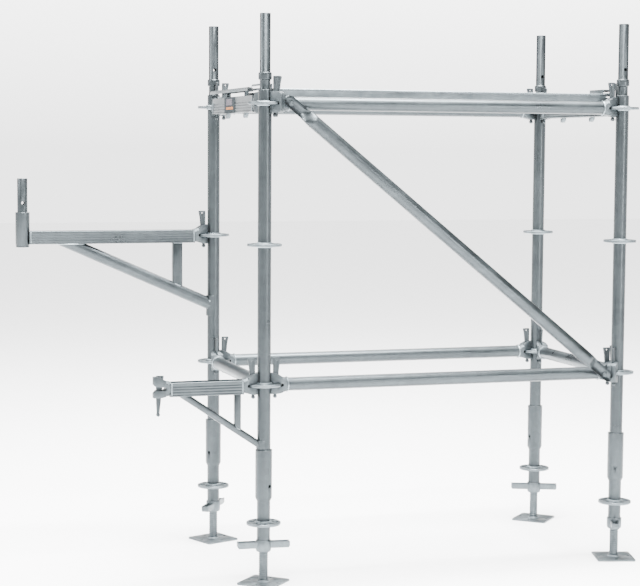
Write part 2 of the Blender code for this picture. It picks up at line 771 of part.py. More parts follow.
def make_deck():
    """Narrow steel plank with folded flanges, end caps and hook claws."""
    near = DECK_NEAR
    far = DECK_FAR
    sheet = DECK_SHEET
    start = DECK_END
    end = BAY_LENGTH - DECK_END
    outline = [
        (near, DECK_LOW),
        (near + 0.016, DECK_LOW),
        (near + 0.016, DECK_LOW + sheet),
        (near + sheet, DECK_LOW + sheet),
        (near + sheet, DECK_HIGH - sheet),
        (far - sheet, DECK_HIGH - sheet),
        (far - sheet, DECK_LOW + sheet),
        (far - 0.016, DECK_LOW + sheet),
        (far - 0.016, DECK_LOW),
        (far, DECK_LOW),
        (far, DECK_HIGH - 0.002),
        (far - 0.002, DECK_HIGH),
        (near + 0.002, DECK_HIGH),
        (near, DECK_HIGH - 0.002),
    ]
    pieces = [prism(outline, start, end, "X", "deck")]
    cap_low = near + 0.001
    cap_high = far - 0.001
    claw = [
        (start + 0.003, 0.0345),
        (0.0205, 0.0345),
        (0.0205, 0.0040),
        (0.0160, 0.0010),
        (0.0080, 0.0010),
        (0.0080, 0.0300),
        (-0.0020, 0.0340),
        (-0.0020, 0.0425),
        (start + 0.003, 0.0425),
    ]
    crest = [
        (start + 0.004, 0.0300),
        (start + 0.004, DECK_CREST),
        (0.0030, DECK_CREST),
        (0.0, DECK_CREST - 0.003),
        (0.0, DECK_CREST - 0.008),
        (start, DECK_CREST - 0.008),
        (start, DECK_CREST - 0.015),
        (0.0060, DECK_CREST - 0.015),
        (0.0, DECK_CREST - 0.018),
        (0.0, DECK_CREST - 0.024),
        (start, DECK_CREST - 0.024),
        (start, 0.0300),
    ]
    end_parts = [
        box((start + 0.0005, cap_low, DECK_LOW + 0.001), (start + 0.004, cap_high, DECK_HIGH - 0.001)),
        prism(crest, CREST_NEAR, CREST_FAR, "Y", "crest"),
    ]
    for spot in (0.120, 0.202):
        end_parts.append(prism(claw, spot - 0.012, spot + 0.012, "Y", "claw"))
    for part in end_parts:
        opposite = mirrored(part)
        opposite.transform(Matrix.Translation((BAY_LENGTH, 0.0, 0.0)))
        pieces += [part, opposite]
    return welded(pieces, "deck")


def make_lid(side):
    """Lift-off guard along X: folded strip, a tongue at each end towards one side of Y, hooked straps."""
    sheet = 0.0025
    section = [
        (-LID_HALF, LID_LOW),
        (sheet - LID_HALF, LID_LOW),
        (sheet - LID_HALF, LID_HIGH - sheet),
        (LID_HALF - sheet, LID_HIGH - sheet),
        (LID_HALF - sheet, LID_LOW),
        (LID_HALF, LID_LOW),
        (LID_HALF, LID_HIGH),
        (-LID_HALF, LID_HIGH),
    ]
    strip = prism(section, LID_TONGUE_NEAR, LID_TONGUE_FAR, "X", "lid")
    edges = sorted((-side * (LID_HALF + 0.01), side * LID_TONGUE_EDGE))
    for low, high in ((LID_TONGUE_NEAR - 0.01, LID_NEAR), (LID_FAR, LID_TONGUE_FAR + 0.01)):
        notch = box((low, edges[0], LID_LOW - 0.02), (high, edges[1], LID_HIGH + 0.02))
        strip = combined(strip, notch, "DIFFERENCE")
    pieces = [strip]
    for spot in STRAP_SPOTS:
        hook = [
            (spot + 0.0040, LID_HIGH - 0.001),
            (spot + 0.0040, -0.0305),
            (spot + 0.0170, -0.0305),
            (spot + 0.0190, -0.0450),
            (spot + 0.0140, -0.0480),
            (spot + 0.0080, -0.0460),
            (spot - 0.0040, -0.0340),
            (spot - 0.0040, LID_HIGH - 0.001),
        ]
        pieces.append(prism(hook, -0.0080, 0.0080, "Y", "strap"))
    return welded(pieces, "lid")


def make_tag():
    """Blank marker plate for the side of the left transom."""
    outline = [
        (-0.0730, -0.0300),
        (0.0730, -0.0300),
        (0.0760, -0.0270),
        (0.0760, 0.0270),
        (0.0730, 0.0300),
        (-0.0730, 0.0300),
        (-0.0760, 0.0270),
        (-0.0760, -0.0270),
    ]
    return prism(outline, -0.0012, 0.0, "Y", "tag")


standard = make_standard()
collar = make_collar()
spigot = make_spigot(
    STANDARD_TOP - SPIGOT_DEPTH, SPIGOT_TOP, SPIGOT_RING_LOW, SPIGOT_RING_HIGH, SPIGOT_HOLE_LEVEL, "spigot"
)
jack = make_jack()
nut = make_nut()
head = make_head()
brace_head = make_brace_head()
wedge = make_wedge()
long_ledger = make_ledger(BAY_LENGTH, head, "long_ledger")
short_ledger = make_ledger(BAY_WIDTH, head, "short_ledger")
transom = make_transom(head)

for corner, (post_x, post_y) in POSTS.items():
    spigot_turn = 90.0 if corner == "front_left" else 0.0
    place("standard_" + corner, standard, TUBE_STEEL, (post_x, post_y, 0.0))
    place("spigot_" + corner, spigot, TUBE_STEEL, (post_x, post_y, 0.0), spigot_turn)
    place("collar_" + corner, collar, TUBE_STEEL, (post_x, post_y, 0.0), COLLAR_TURN[corner])
    place("jack_" + corner, jack, THREAD_STEEL, (post_x, post_y, 0.0), PLATE_TURN[corner])
    place("jack_nut_" + corner, nut, CAST_STEEL, (post_x, post_y, 0.0), NUT_TURN[corner])


def place_wedge(name, post, level, degrees, drop=-WEDGE_RISE):
    """Drop a wedge into the head that leaves a post at an angle."""
    turn = math.radians(degrees)
    spot = (post[0] + WEDGE_CENTRE * math.cos(turn), post[1] + WEDGE_CENTRE * math.sin(turn), level - drop)
    place(name, wedge, WEDGE_STEEL, spot, degrees)


for label, level in (("top", TOP_LEVEL), ("low", LOW_LEVEL)):
    for row in ("front", "rear"):
        start = POSTS[row + "_left"]
        place("ledger_" + label + "_" + row, long_ledger, TUBE_STEEL, (*start, level))
        place_wedge("wedge_" + label + "_" + row + "_a", start, level, 0.0)
        place_wedge("wedge_" + label + "_" + row + "_b", POSTS[row + "_right"], level, 180.0)
    for side in ("left", "right"):
        start = POSTS["front_" + side]
        member = "transom_" if label == "top" else "ledger_"
        mesh = transom if label == "top" else short_ledger
        place(member + label + "_" + side, mesh, TUBE_STEEL, (*start, level), 90.0)
        place_wedge("wedge_" + label + "_" + side + "_a", start, level, 90.0)
        place_wedge("wedge_" + label + "_" + side + "_b", POSTS["rear_" + side], level, 270.0)

brace = place("brace_tube", make_brace(), TUBE_STEEL, (BRACE_OFFSET_X, 0.0, TOP_LEVEL))
brace.rotation_euler = (0.0, math.atan2(TOP_LEVEL - LOW_LEVEL, BAY_LENGTH - 2.0 * BRACE_OFFSET_X), 0.0)
place("brace_head_top", mirrored(brace_head), CAST_STEEL, (*POSTS["front_left"], TOP_LEVEL))
place("brace_head_low", brace_head, CAST_STEEL, (*POSTS["front_right"], LOW_LEVEL))
place_wedge("brace_wedge_top", POSTS["front_left"], TOP_LEVEL, -45.0)
place_wedge("brace_wedge_low", POSTS["front_right"], LOW_LEVEL, 225.0)

place("bracket_large", make_large_bracket(head), TUBE_STEEL, (*POSTS["rear_left"], MID_LEVEL), 180.0)
place_wedge("bracket_large_wedge", POSTS["rear_left"], MID_LEVEL, 180.0)
outer_spigot = lathe(
    [
        (SPIGOT_BORE, 0.000),
        (SPIGOT_RADIUS + 0.0007, 0.000),
        (SPIGOT_RADIUS + 0.0007, 0.088),
        (SPIGOT_RADIUS + 0.0004, 0.0935),
        (SPIGOT_RADIUS + 0.0004, 0.222),
        (SPIGOT_BORE, 0.222),
    ],
    16,
    "outer_spigot",
)
outer_pin = rod((0.0, -0.04, 0.129), (0.0, 0.04, 0.129), SPIGOT_HOLE_RADIUS, 8)
outer_spigot = combined(outer_spigot, outer_pin, "DIFFERENCE")
outer_x = POSTS["rear_left"][0] - LARGE_REACH
place("bracket_large_spigot", outer_spigot, TUBE_STEEL, (outer_x, BAY_WIDTH, MID_LEVEL))

place("bracket_small", make_small_bracket(head), TUBE_STEEL, (*POSTS["front_left"], LOW_LEVEL), 180.0)
place_wedge("bracket_small_wedge", POSTS["front_left"], LOW_LEVEL, 180.0)
place_wedge("bracket_small_loose_wedge", (-SMALL_REACH, 0.0), LOW_LEVEL, 0.0, LOOSE_WEDGE_DROP)

place("deck", make_deck(), PLATE_STEEL, (0.0, 0.0, TOP_LEVEL))
place("lid_left", make_lid(1), PLATE_STEEL, (0.0, 0.0, TOP_LEVEL), 90.0)
place("lid_right", make_lid(-1), PLATE_STEEL, (BAY_LENGTH, 0.0, TOP_LEVEL), 90.0)
place("tag", make_tag(), TAG_PLASTIC, (-BEAM_HALF - 0.0003, 0.392, TOP_LEVEL + 0.0010), -90.0)
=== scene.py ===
"""Looks of the modular scaffold bay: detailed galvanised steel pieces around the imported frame.

Every piece is modelled around its own post or member, placed from the frame's boxes, and then
rides the body of the part that it stands for.
"""

import math

import bmesh
import bpy
from mathutils import Matrix, Vector


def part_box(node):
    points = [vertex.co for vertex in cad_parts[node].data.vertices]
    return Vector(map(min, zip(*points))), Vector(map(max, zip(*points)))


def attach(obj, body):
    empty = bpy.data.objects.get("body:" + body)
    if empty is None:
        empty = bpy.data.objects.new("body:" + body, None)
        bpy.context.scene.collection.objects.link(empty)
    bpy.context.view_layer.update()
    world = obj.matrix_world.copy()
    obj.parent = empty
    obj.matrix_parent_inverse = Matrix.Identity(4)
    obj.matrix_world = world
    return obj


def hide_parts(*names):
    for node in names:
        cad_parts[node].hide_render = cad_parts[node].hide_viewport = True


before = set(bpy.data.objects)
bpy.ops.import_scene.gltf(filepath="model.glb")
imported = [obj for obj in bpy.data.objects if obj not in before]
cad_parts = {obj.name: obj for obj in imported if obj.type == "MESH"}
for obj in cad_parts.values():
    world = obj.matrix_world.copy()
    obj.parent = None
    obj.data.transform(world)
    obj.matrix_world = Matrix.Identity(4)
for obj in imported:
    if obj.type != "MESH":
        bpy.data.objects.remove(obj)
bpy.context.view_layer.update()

# sizes shared with the frame
TUBE_RADIUS = 0.02415
TUBE_BORE = 0.02095
ROSETTE_RADIUS = 0.062
ROSETTE_HALF = 0.0047
SPIGOT_RADIUS = 0.019
SPIGOT_BORE = 0.0162
HEAD_TOP = 0.042
HEAD_BACK = 0.084
HEAD_CLEAR = 0.0246
WEDGE_CENTRE = 0.044
WEDGE_RISE = 0.008
BEAM_HALF = 0.0245
BEAM_LOW = -0.029
BEAM_HIGH = 0.021
TRANSOM_HIGH = 0.031
BEAM_WALL = 0.0035
THREAD_PITCH = 0.008
SPINDLE_RADIUS = 0.017
SPINDLE_ROOT = 0.0153
LUG_FACE = -0.049
STRAP_SPOTS = (0.2465, 0.501)
LID_NEAR = 0.2405
LID_FAR = 0.664
LID_TONGUE_EDGE = 0.006
LID_LOW = 0.0485
DECK_END = 0.044
DECK_HIGH = 0.055
DECK_CREST = 0.072
CREST_NEAR = 0.072
CREST_FAR = 0.182
ROUND_SIDES = 48
MERGE = 0.00002
TINT = 0.15
UP = Vector((0.0, 0.0, 1.0))
EVEN = (1.0, 1.0, 1.0)
TURN_X = Matrix.Rotation(math.radians(90.0), 4, "X")
TURN_Y = Matrix.Rotation(math.radians(90.0), 4, "Y")
CAST_WORK = ("structure", "galvanised_casting")

# places read from the frame
CORNERS = ("front_left", "front_right", "rear_left", "rear_right")


def middle(node):
    """Centre of a node's box."""
    low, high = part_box(node)
    return (Vector(low) + Vector(high)) / 2.0


POST = {}
for corner in CORNERS:
    spot = middle("standard_" + corner)
    POST[corner] = Vector((spot.x, spot.y, 0.0))
TOP_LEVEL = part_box("ledger_top_front")[1][2] - HEAD_TOP
LOW_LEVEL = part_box("ledger_low_front")[1][2] - HEAD_TOP
MID_LEVEL = (TOP_LEVEL + LOW_LEVEL) / 2.0
COLLAR_LEVEL = LOW_LEVEL - (MID_LEVEL - LOW_LEVEL)
BAY_LENGTH = POST["front_right"].x - POST["front_left"].x
BAY_WIDTH = POST["rear_left"].y - POST["front_left"].y
STANDARD_BOTTOM, STANDARD_TOP = (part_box("standard_front_left")[side][2] for side in (0, 1))
SPIGOT_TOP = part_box("spigot_front_left")[1][2]


# mesh helpers

def to_mesh(work, name="mesh"):
    """Close a bmesh off as a mesh with outward faces."""
    bmesh.ops.recalc_face_normals(work, faces=work.faces)
    mesh = bpy.data.meshes.new(name)
    work.to_mesh(mesh)
    work.free()
    return mesh


def angles(count):
    """Evenly spaced angles around a full turn."""
    return [2.0 * math.pi * step / count for step in range(count)]


def round_points(radius, count):
    """Points of a circle in a plane."""
    return [(radius * math.cos(angle), radius * math.sin(angle)) for angle in angles(count)]


def skin(work, rings, closed=False):
    """Faces between successive rings or tips; the ends are capped, or joined to each other."""
    pairs = list(zip(rings, rings[1:]))
    if closed:
        pairs.append((rings[-1], rings[0]))
    for low, high in pairs:
        count = max(len(low), len(high))
        for step in range(count):
            after = (step + 1) % count
            corners = [low[step % len(low)], low[after % len(low)]]
            corners += [high[after % len(high)], high[step % len(high)]]
            work.faces.new(list(dict.fromkeys(corners)))
    if not closed and len(rings[0]) > 1:
        work.faces.new(rings[0])
        work.faces.new(list(reversed(rings[-1])))
    return to_mesh(work)


def lathe(profile, sides=ROUND_SIDES):
    """Turn (radius, height) points about Z; a profile off the axis closes on itself."""
    work = bmesh.new()
    rings = []
    for radius, height in profile:
        spots = round_points(radius, sides) if radius else [(0.0, 0.0)]
        rings.append([work.verts.new((*spot, height)) for spot in spots])
    return skin(work, rings, profile[0][0] > 0.0)


def prism(outline, low, high, axis="Z"):
    """Extrude a flat outline between two heights along one axis."""
    work = bmesh.new()
    order = {"X": (2, 0, 1), "Y": (0, 2, 1), "Z": (0, 1, 2)}[axis]
    rings = []
    for height in (low, high):
        spots = [(*point, height) for point in outline]
        rings.append([work.verts.new([spot[index] for index in order]) for spot in spots])
    return skin(work, rings)


def rectangle(x_low, y_low, x_high, y_high):
    """Corners of a rectangle."""
    return [(x_low, y_low), (x_high, y_low), (x_high, y_high), (x_low, y_high)]


def two_sided(half, near, far):
    """Outline with the same half profile of (inset, height) points at both edges."""
    outline = [(near + inset, height) for inset, height in half]
    return outline + [(far - inset, height) for inset, height in reversed(half)]


def box(low, high):
    """Box mesh between two corners."""
    return prism(rectangle(low[0], low[1], high[0], high[1]), low[2], high[2])


def rod(start, end, radius, sides=32, edge=0.0):
    """Round bar between two points, its ends chamfered by edge."""
    direction = Vector(end) - Vector(start)
    length = direction.length
    profile = [(0.0, 0.0), (radius - edge, 0.0)]
    if edge:
        profile += [(radius, edge), (radius, length - edge)]
    profile += [(radius - edge if edge else radius, length), (0.0, length)]
    mesh = lathe(profile, sides)
    turn = UP.rotation_difference(direction.normalized()).to_matrix().to_4x4()
    mesh.transform(Matrix.Translation(start) @ turn)
    return mesh


def rounded(outline, radius, steps=4):
    """Round every corner of an outline by up to radius."""
    result = []
    count = len(outline)
    for index in range(count):
        here = Vector(outline[index])
        before = Vector(outline[index - 1]) - here
        after = Vector(outline[(index + 1) % count]) - here
        turn = before.angle(after, math.pi)
        if turn > math.radians(172.0):
            result.append(tuple(here))
            continue
        trim = min(radius / math.tan(turn / 2.0), 0.45 * before.length, 0.45 * after.length)
        start = here + before.normalized() * trim
        end = here + after.normalized() * trim
        for step in range(steps + 1):
            share = step / steps
            spot = start * (1 - share) ** 2 + here * 2 * share * (1 - share) + end * share ** 2
            result.append(tuple(spot))
    return result


def moved(mesh, location=(0.0, 0.0, 0.0), degrees=0.0):
    """Copy of a mesh turned about Z and then shifted."""
    result = mesh.copy()
    result.transform(Matrix.Translation(location) @ Matrix.Rotation(math.radians(degrees), 4, "Z"))
    return result


def mirrored(mesh, axis="X"):
    """Copy of a mesh mirrored along an axis with its faces still outward."""
    work = bmesh.new()
    work.from_mesh(mesh)
    scale = (-1.0, 1.0, 1.0) if axis == "X" else (1.0, -1.0, 1.0)
    bmesh.ops.scale(work, vec=scale, verts=work.verts)
    return to_mesh(work)


def gathered(meshes):
    """Several solids in one mesh."""
    work = bmesh.new()
    for mesh in meshes:
        work.from_mesh(mesh)
    return to_mesh(work)


def evaluated(mesh, prepare):
    """Run modifiers that prepare adds to a carrier object and return the result."""
    carrier = bpy.data.objects.new("carrier", mesh)
    bpy.context.scene.collection.objects.link(carrier)
    prepare(carrier)
    bpy.context.view_layer.update()
    graph = bpy.context.evaluated_depsgraph_get()
    result = bpy.data.meshes.new_from_object(carrier.evaluated_get(graph))
    bpy.data.objects.remove(carrier, do_unlink=True)
    return result


def combined(base, tool, operation):
    """One exact boolean, tidied."""
    tool_object = bpy.data.objects.new("tool", tool)
    bpy.context.scene.collection.objects.link(tool_object)

    def prepare(carrier):
        modifier = carrier.modifiers.new("combine", "BOOLEAN")
        modifier.operation = operation
        modifier.solver = "EXACT"
        modifier.object = tool_object

    result = evaluated(base, prepare)
    bpy.data.objects.remove(tool_object, do_unlink=True)
    work = bmesh.new()
    work.from_mesh(result)
    bmesh.ops.remove_doubles(work, verts=work.verts, dist=MERGE)
    bmesh.ops.dissolve_degenerate(work, edges=work.edges, dist=MERGE)
    bmesh.ops.dissolve_limit(work, angle_limit=math.radians(0.3), verts=work.verts, edges=work.edges)
    return to_mesh(work)


def cut(mesh, tool):
    """One solid with another taken out of it."""
    return combined(mesh, tool, "DIFFERENCE")


def welded(meshes):
    """Overlapping solids fused into one."""
    result = meshes[0]
    for mesh in meshes[1:]:
        result = combined(result, mesh, "UNION")
    return result


def softened(mesh, width=0.001, segments=2, degrees=32.0):
    """Break the sharp edges of a solid with a small round."""
    def prepare(carrier):
        modifier = carrier.modifiers.new("edges", "BEVEL")
        modifier.width = width
        modifier.segments = segments
        modifier.limit_method = "ANGLE"
        modifier.angle_limit = math.radians(degrees)
        modifier.use_clamp_overlap = True
        modifier.harden_normals = False

    return evaluated(mesh, prepare)


def bead(points, radius, closed=True, ripple=0.18, ripple_step=0.0035, sides=8):
    """Weld bead along a list of points: a rippled round cord laid into a corner."""
    spots = [Vector(point) for point in points]
    count = len(spots)
    work = bmesh.new()
    rings = []
    travelled = 0.0
    for index, spot in enumerate(spots):
        ahead = spots[(index + 1) % count] if closed or index + 1 < count else spot
        behind = spots[index - 1] if closed or index > 0 else spot
        tangent = (ahead - behind).normalized()
        side = tangent.orthogonal() if abs(tangent.z) > 0.95 else tangent.cross(UP)
        side.normalize()
        lift = side.cross(tangent).normalized()
        travelled += (spot - spots[index - 1]).length if index else 0.0
        size = radius * (1.0 - ripple + ripple * abs(math.sin(math.pi * travelled / ripple_step)))
        if not closed and index in (0, count - 1):
            size *= 0.45
        ring = round_points(size, sides)
        rings.append([work.verts.new(spot + side * across + lift * rise) for across, rise in ring])
    return skin(work, rings, closed)


def circle(radius, height, steps=96):
    """Points of a level circle about Z."""
    return [(*point, height) for point in round_points(radius, steps)]


def ring_about_x(radius, along, steps=96):
    """Points of a circle about the X axis."""
    return [(along, *point) for point in round_points(radius, steps)]


def line(start, end, step=0.0012):
    """Evenly spaced points on a straight run."""
    start = Vector(start)
    end = Vector(end)
    count = max(2, int((end - start).length / step))
    return [start.lerp(end, index / count) for index in range(count + 1)]


# materials

def shader_nodes(name):
    """New material with its node tree, shader and object coordinates."""
    material = bpy.data.materials.new(name)
    material.use_nodes = True
    tree = material.node_tree
    shader = tree.nodes["Principled BSDF"]
    place = tree.nodes.new("ShaderNodeTexCoord")
    return material, tree, shader, place.outputs["Object"]


def stretched(tree, source, scale):
    """Coordinates scaled along the axes."""
    mapping = tree.nodes.new("ShaderNodeMapping")
    mapping.inputs["Scale"].default_value = scale
    tree.links.new(source, mapping.inputs["Vector"])
    return mapping.outputs["Vector"]


def noise(tree, vector, scale, detail=3.0, roughness=0.55):
    """Noise texture value."""
    node = tree.nodes.new("ShaderNodeTexNoise")
    node.inputs["Scale"].default_value = scale
    node.inputs["Detail"].default_value = detail
    node.inputs["Roughness"].default_value = roughness
    tree.links.new(vector, node.inputs["Vector"])
    return node.outputs["Fac"]


def ramp(tree, value, stops):
    """Colour ramp through (position, colour) stops."""
    node = tree.nodes.new("ShaderNodeValToRGB")
    band = node.color_ramp
    band.elements[0].position = stops[0][0]
    band.elements[0].color = (*stops[0][1], 1.0)
    band.elements[1].position = stops[-1][0]
    band.elements[1].color = (*stops[-1][1], 1.0)
    for position, colour in stops[1:-1]:
        element = band.elements.new(position)
        element.color = (*colour, 1.0)
    tree.links.new(value, node.inputs["Fac"])
    return node.outputs["Color"]


def mixed(tree, factor, first, second, mode="MIX"):
    """Mix of two colours; factor is a number or a socket."""
    node = tree.nodes.new("ShaderNodeMix")
    node.data_type = "RGBA"
    node.blend_type = mode
    if isinstance(factor, float):
        node.inputs["Factor"].default_value = factor
    else:
        tree.links.new(factor, node.inputs["Factor"])
    tree.links.new(first, node.inputs["A"])
    tree.links.new(second, node.inputs["B"])
    return node.outputs["Result"]


def grey(level, tint):
    """A slightly blue grey."""
    return (level * (1.0 - tint), level, level * (1.0 + 0.5 * tint))


def grey_ramp(tree, value, stops, tint=0.0):
    """Ramp through (position, level) stops of grey."""
    return ramp(tree, value, [(position, grey(level, tint)) for position, level in stops])


def bumped(tree, height, strength, distance, below=None):
    """Normals roughened by a height, over another bump if there is one."""
    bump = tree.nodes.new("ShaderNodeBump")
    bump.inputs["Strength"].default_value = strength
    bump.inputs["Distance"].default_value = distance
    tree.links.new(height, bump.inputs["Height"])
    if below:
        tree.links.new(below, bump.inputs["Normal"])
    return bump.outputs["Normal"]


def galvanised(name, tone, stretch=EVEN, rough=0.34, spangle=55, relief=0.14, wear=0.5, metallic=0.9):
    """Hot-dip zinc: crystal spangle, drawn streaks, dull bloom and rubbed bright patches."""
    material, tree, shader, place = shader_nodes(name)
    long_place = stretched(tree, place, stretch)
    crystal = tree.nodes.new("ShaderNodeTexVoronoi")
    crystal.inputs["Scale"].default_value = spangle
    tree.links.new(place, crystal.inputs["Vector"])
    crystal_tone = grey_ramp(tree, crystal.outputs["Color"], [(0.1, tone * 0.93), (0.9, tone * 1.07)], TINT)
    streak = noise(tree, long_place, 26.0, 4.0)
    streak_tone = grey_ramp(tree, streak, [(0.3, 0.8), (0.55, 1.0), (0.75, 1.1)])
    colour = mixed(tree, 1.0, crystal_tone, streak_tone, "MULTIPLY")
    cloud = noise(tree, place, 7.0, 5.0, 0.6)
    cloud_tone = grey_ramp(tree, cloud, [(0.34, 0.86), (0.5, 0.98), (0.7, 1.08)])
    colour = mixed(tree, 1.0, colour, cloud_tone, "MULTIPLY")
    rubbed = noise(tree, long_place, 26.0, 6.0, 0.7)
    rubbed_mask = grey_ramp(tree, rubbed, [(0.58, 0.0), (0.74, wear * 0.6)])
    worn = grey_ramp(tree, streak, [(0.3, tone * 1.35), (0.7, tone * 1.55)], TINT)
    colour = mixed(tree, rubbed_mask, colour, worn)
    tree.links.new(colour, shader.inputs["Base Color"])
    gloss = grey_ramp(tree, cloud, [(0.3, rough - 0.09), (0.7, rough + 0.12)])
    tree.links.new(gloss, shader.inputs["Roughness"])
    shader.inputs["Metallic"].default_value = metallic
    grain = bumped(tree, noise(tree, place, 420.0, 3.0), relief, 0.0006)
    tree.links.new(bumped(tree, streak, relief * 0.8, 0.0015, grain), shader.inputs["Normal"])
    return material


def printed_film(name, colour):
    """Matt printed plastic film with faint scuffs."""
    material, tree, shader, place = shader_nodes(name)
    shader.inputs["Specular IOR Level"].default_value = 0.12
    scuff = noise(tree, stretched(tree, place, (1.0, 1.0, 4.0)), 90.0, 5.0)
    dark = tuple(channel * 0.86 for channel in colour)
    light = tuple(min(1.0, channel * 1.12 + 0.01) for channel in colour)
    tree.links.new(ramp(tree, scuff, [(0.3, dark), (0.7, light)]), shader.inputs["Base Color"])
    tree.links.new(grey_ramp(tree, scuff, [(0.3, 0.72), (0.7, 0.9)]), shader.inputs["Roughness"])
    tree.links.new(bumped(tree, scuff, 0.08, 0.0003), shader.inputs["Normal"])
    return material


# Lit and shaded copies of one tube zinc, told apart by the member's direction: the uprights are painted
# darker as painted shade, the members along Y are painted lighter as painted light from the left, and the
# members along X sit between; each copy's streaks run along its member.
UPRIGHT_ZINC_PAINTED_SHADE = galvanised("upright_zinc_painted_shade", 0.054, (1.0, 1.0, 0.1))
LENGTH_ZINC = galvanised("length_zinc", 0.062, (0.1, 1.0, 1.0))
WIDTH_ZINC_PAINTED_LIGHT = galvanised("width_zinc_painted_light", 0.095, (1.0, 0.1, 1.0))
PRESSED_ZINC = galvanised("pressed_zinc", 0.135, (1.0, 0.3, 1.0), 0.38, 40.0, 0.1)
CAST_ZINC = galvanised("cast_zinc", 0.085, EVEN, 0.5, 90.0, 0.45, 0.35)
NUT_ZINC = galvanised("nut_zinc", 0.13, EVEN, 0.44, 80.0, 0.35, 0.5)
ROSETTE_ZINC = galvanised("rosette_zinc", 0.15, EVEN, 0.4, 60.0, 0.15, 0.6)
WELD_ZINC = galvanised("weld_zinc", 0.26, EVEN, 0.34, 160.0, 0.4, 0.6)
WEDGE_ZINC = galvanised("wedge_zinc", 0.06, (1.0, 1.0, 0.3), 0.45, 80.0, 0.3, 0.5)
THREAD_ZINC = galvanised("thread_zinc", 0.12, EVEN, 0.36, 120.0, 0.2, 0.6)
# Near-black, half-metallic copy of the zinc for the deck's hooks and end caps: painted shade for the shadow
# in the gaps at the deck's ends, not a different steel.
DECK_END_PAINTED_SHADE = galvanised("deck_end_painted_shade", 0.03, EVEN, 0.5, 90.0, 0.3, 0.1, 0.5)
TAG_DARK = printed_film("tag_dark", (0.012, 0.017, 0.02))
TAG_PALE = printed_film("tag_pale", (0.075, 0.068, 0.08))
TAG_AMBER = printed_film("tag_amber", (0.26, 0.105, 0.04))


# placing

def put(name, mesh, material, body, slot, nodes=(), place=Matrix.Identity(4), sharp=38.0):
    """Place a mesh in the frame as one piece that rides a body."""
    final = mesh.copy()
    final.transform(place)
    final.materials.clear()
    final.materials.append(material)
    final.shade_smooth()
    final.set_sharp_from_angle(angle=math.radians(sharp))
    piece = bpy.data.objects.new(name, final)
    bpy.context.scene.collection.objects.link(piece)
    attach(piece, body)
    if nodes:
        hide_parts(*nodes)
    return piece


def at(spot, level=0.0, degrees=0.0):
    """Placement matrix: turned about Z, then moved to a post at a level."""
    turn = Matrix.Rotation(math.radians(degrees), 4, "Z")
    return Matrix.Translation((spot[0], spot[1], spot[2] + level)) @ turn


def steel(name, mesh, material, place, *nodes):
    """Place one piece of the welded structure."""
    put(name, mesh, material, "structure", "galvanised_tube", nodes, place)


def both_ends(mesh):
    """A mesh near the left posts and its mirror image near the right ones."""
    return [mesh, moved(mirrored(mesh), (BAY_LENGTH, 0.0, 0.0))]


# rosettes and upright tubes

def make_rosette():
    """Rosette with rounded rim, four small and four wide keyed holes."""
    edge = 0.0014
    rim = [
        (0.0228, -ROSETTE_HALF), (ROSETTE_RADIUS - edge, -ROSETTE_HALF),
        (ROSETTE_RADIUS - 0.0004, 0.0008 - ROSETTE_HALF), (ROSETTE_RADIUS, edge - ROSETTE_HALF),
    ]
    rim += [(radius, -side) for radius, side in reversed(rim)]
    disc = lathe(rim, 96)
    near = 0.0324
    far = 0.0513
    small = [(near, -0.007), (0.0418, -0.0092), (far, -0.007)]
    small += [(radius, -side) for radius, side in reversed(small)]
    wide = [(near, -0.0078), (far - 0.004, -0.015), (far + 0.001, -0.011)]
    wide += [(radius, -side) for radius, side in reversed(wide)]
    cutters = []
    for eighth in range(8):
        outline = rounded(small if eighth % 2 == 0 else wide, 0.005, 5)
        cutters.append(moved(prism(outline, -0.02, 0.02), degrees=45.0 * eighth))
    disc = cut(disc, gathered(cutters))
    return softened(disc, 0.0007, 2, 50.0)


def rosette_welds(level):
    """Weld beads above and below a rosette."""
    radius = TUBE_RADIUS + 0.001
    return [bead(circle(radius, level + side * (ROSETTE_HALF + 0.0008), 120), 0.0046) for side in (-1, 1)]


ROSETTE = make_rosette()


def make_standard():
    """Tube of a standard with its turned-in ends."""
    edge = 0.0008
    low = STANDARD_BOTTOM
    high = STANDARD_TOP
    return lathe([
        (TUBE_BORE + edge, low), (TUBE_RADIUS - edge, low), (TUBE_RADIUS, low + edge),
        (TUBE_RADIUS, high - edge), (TUBE_RADIUS - edge, high), (TUBE_BORE + edge, high),
        (TUBE_BORE, high - edge), (TUBE_BORE, low + edge),
    ], 64)


def make_spigot():
    """Joint pin: insert, rolled ring, cross hole and a chamfered mouth."""
    insert = TUBE_BORE - 0.0003
    profile = [
        (SPIGOT_BORE, STANDARD_TOP - 0.12), (insert, STANDARD_TOP - 0.12),
        (insert, STANDARD_TOP - 0.004), (SPIGOT_RADIUS, STANDARD_TOP), (SPIGOT_RADIUS, 1.7995),
        (SPIGOT_RADIUS + 0.0015, 1.8002), (0.0236, 1.802), (0.024, 1.8045), (0.024, 1.8215),
        (0.0236, 1.824), (0.0222, 1.8257), (SPIGOT_RADIUS + 0.0008, 1.8262),
        (SPIGOT_RADIUS, 1.8275), (SPIGOT_RADIUS, SPIGOT_TOP - 0.0015),
        (SPIGOT_RADIUS - 0.001, SPIGOT_TOP), (SPIGOT_BORE + 0.0006, SPIGOT_TOP),
        (SPIGOT_BORE, SPIGOT_TOP - 0.0008),
    ]
    pin = rod((0.0, -0.04, 1.863), (0.0, 0.04, 1.863), 0.0065, 24)
    return softened(cut(lathe(profile, 56), pin), 0.0005, 2, 45.0)


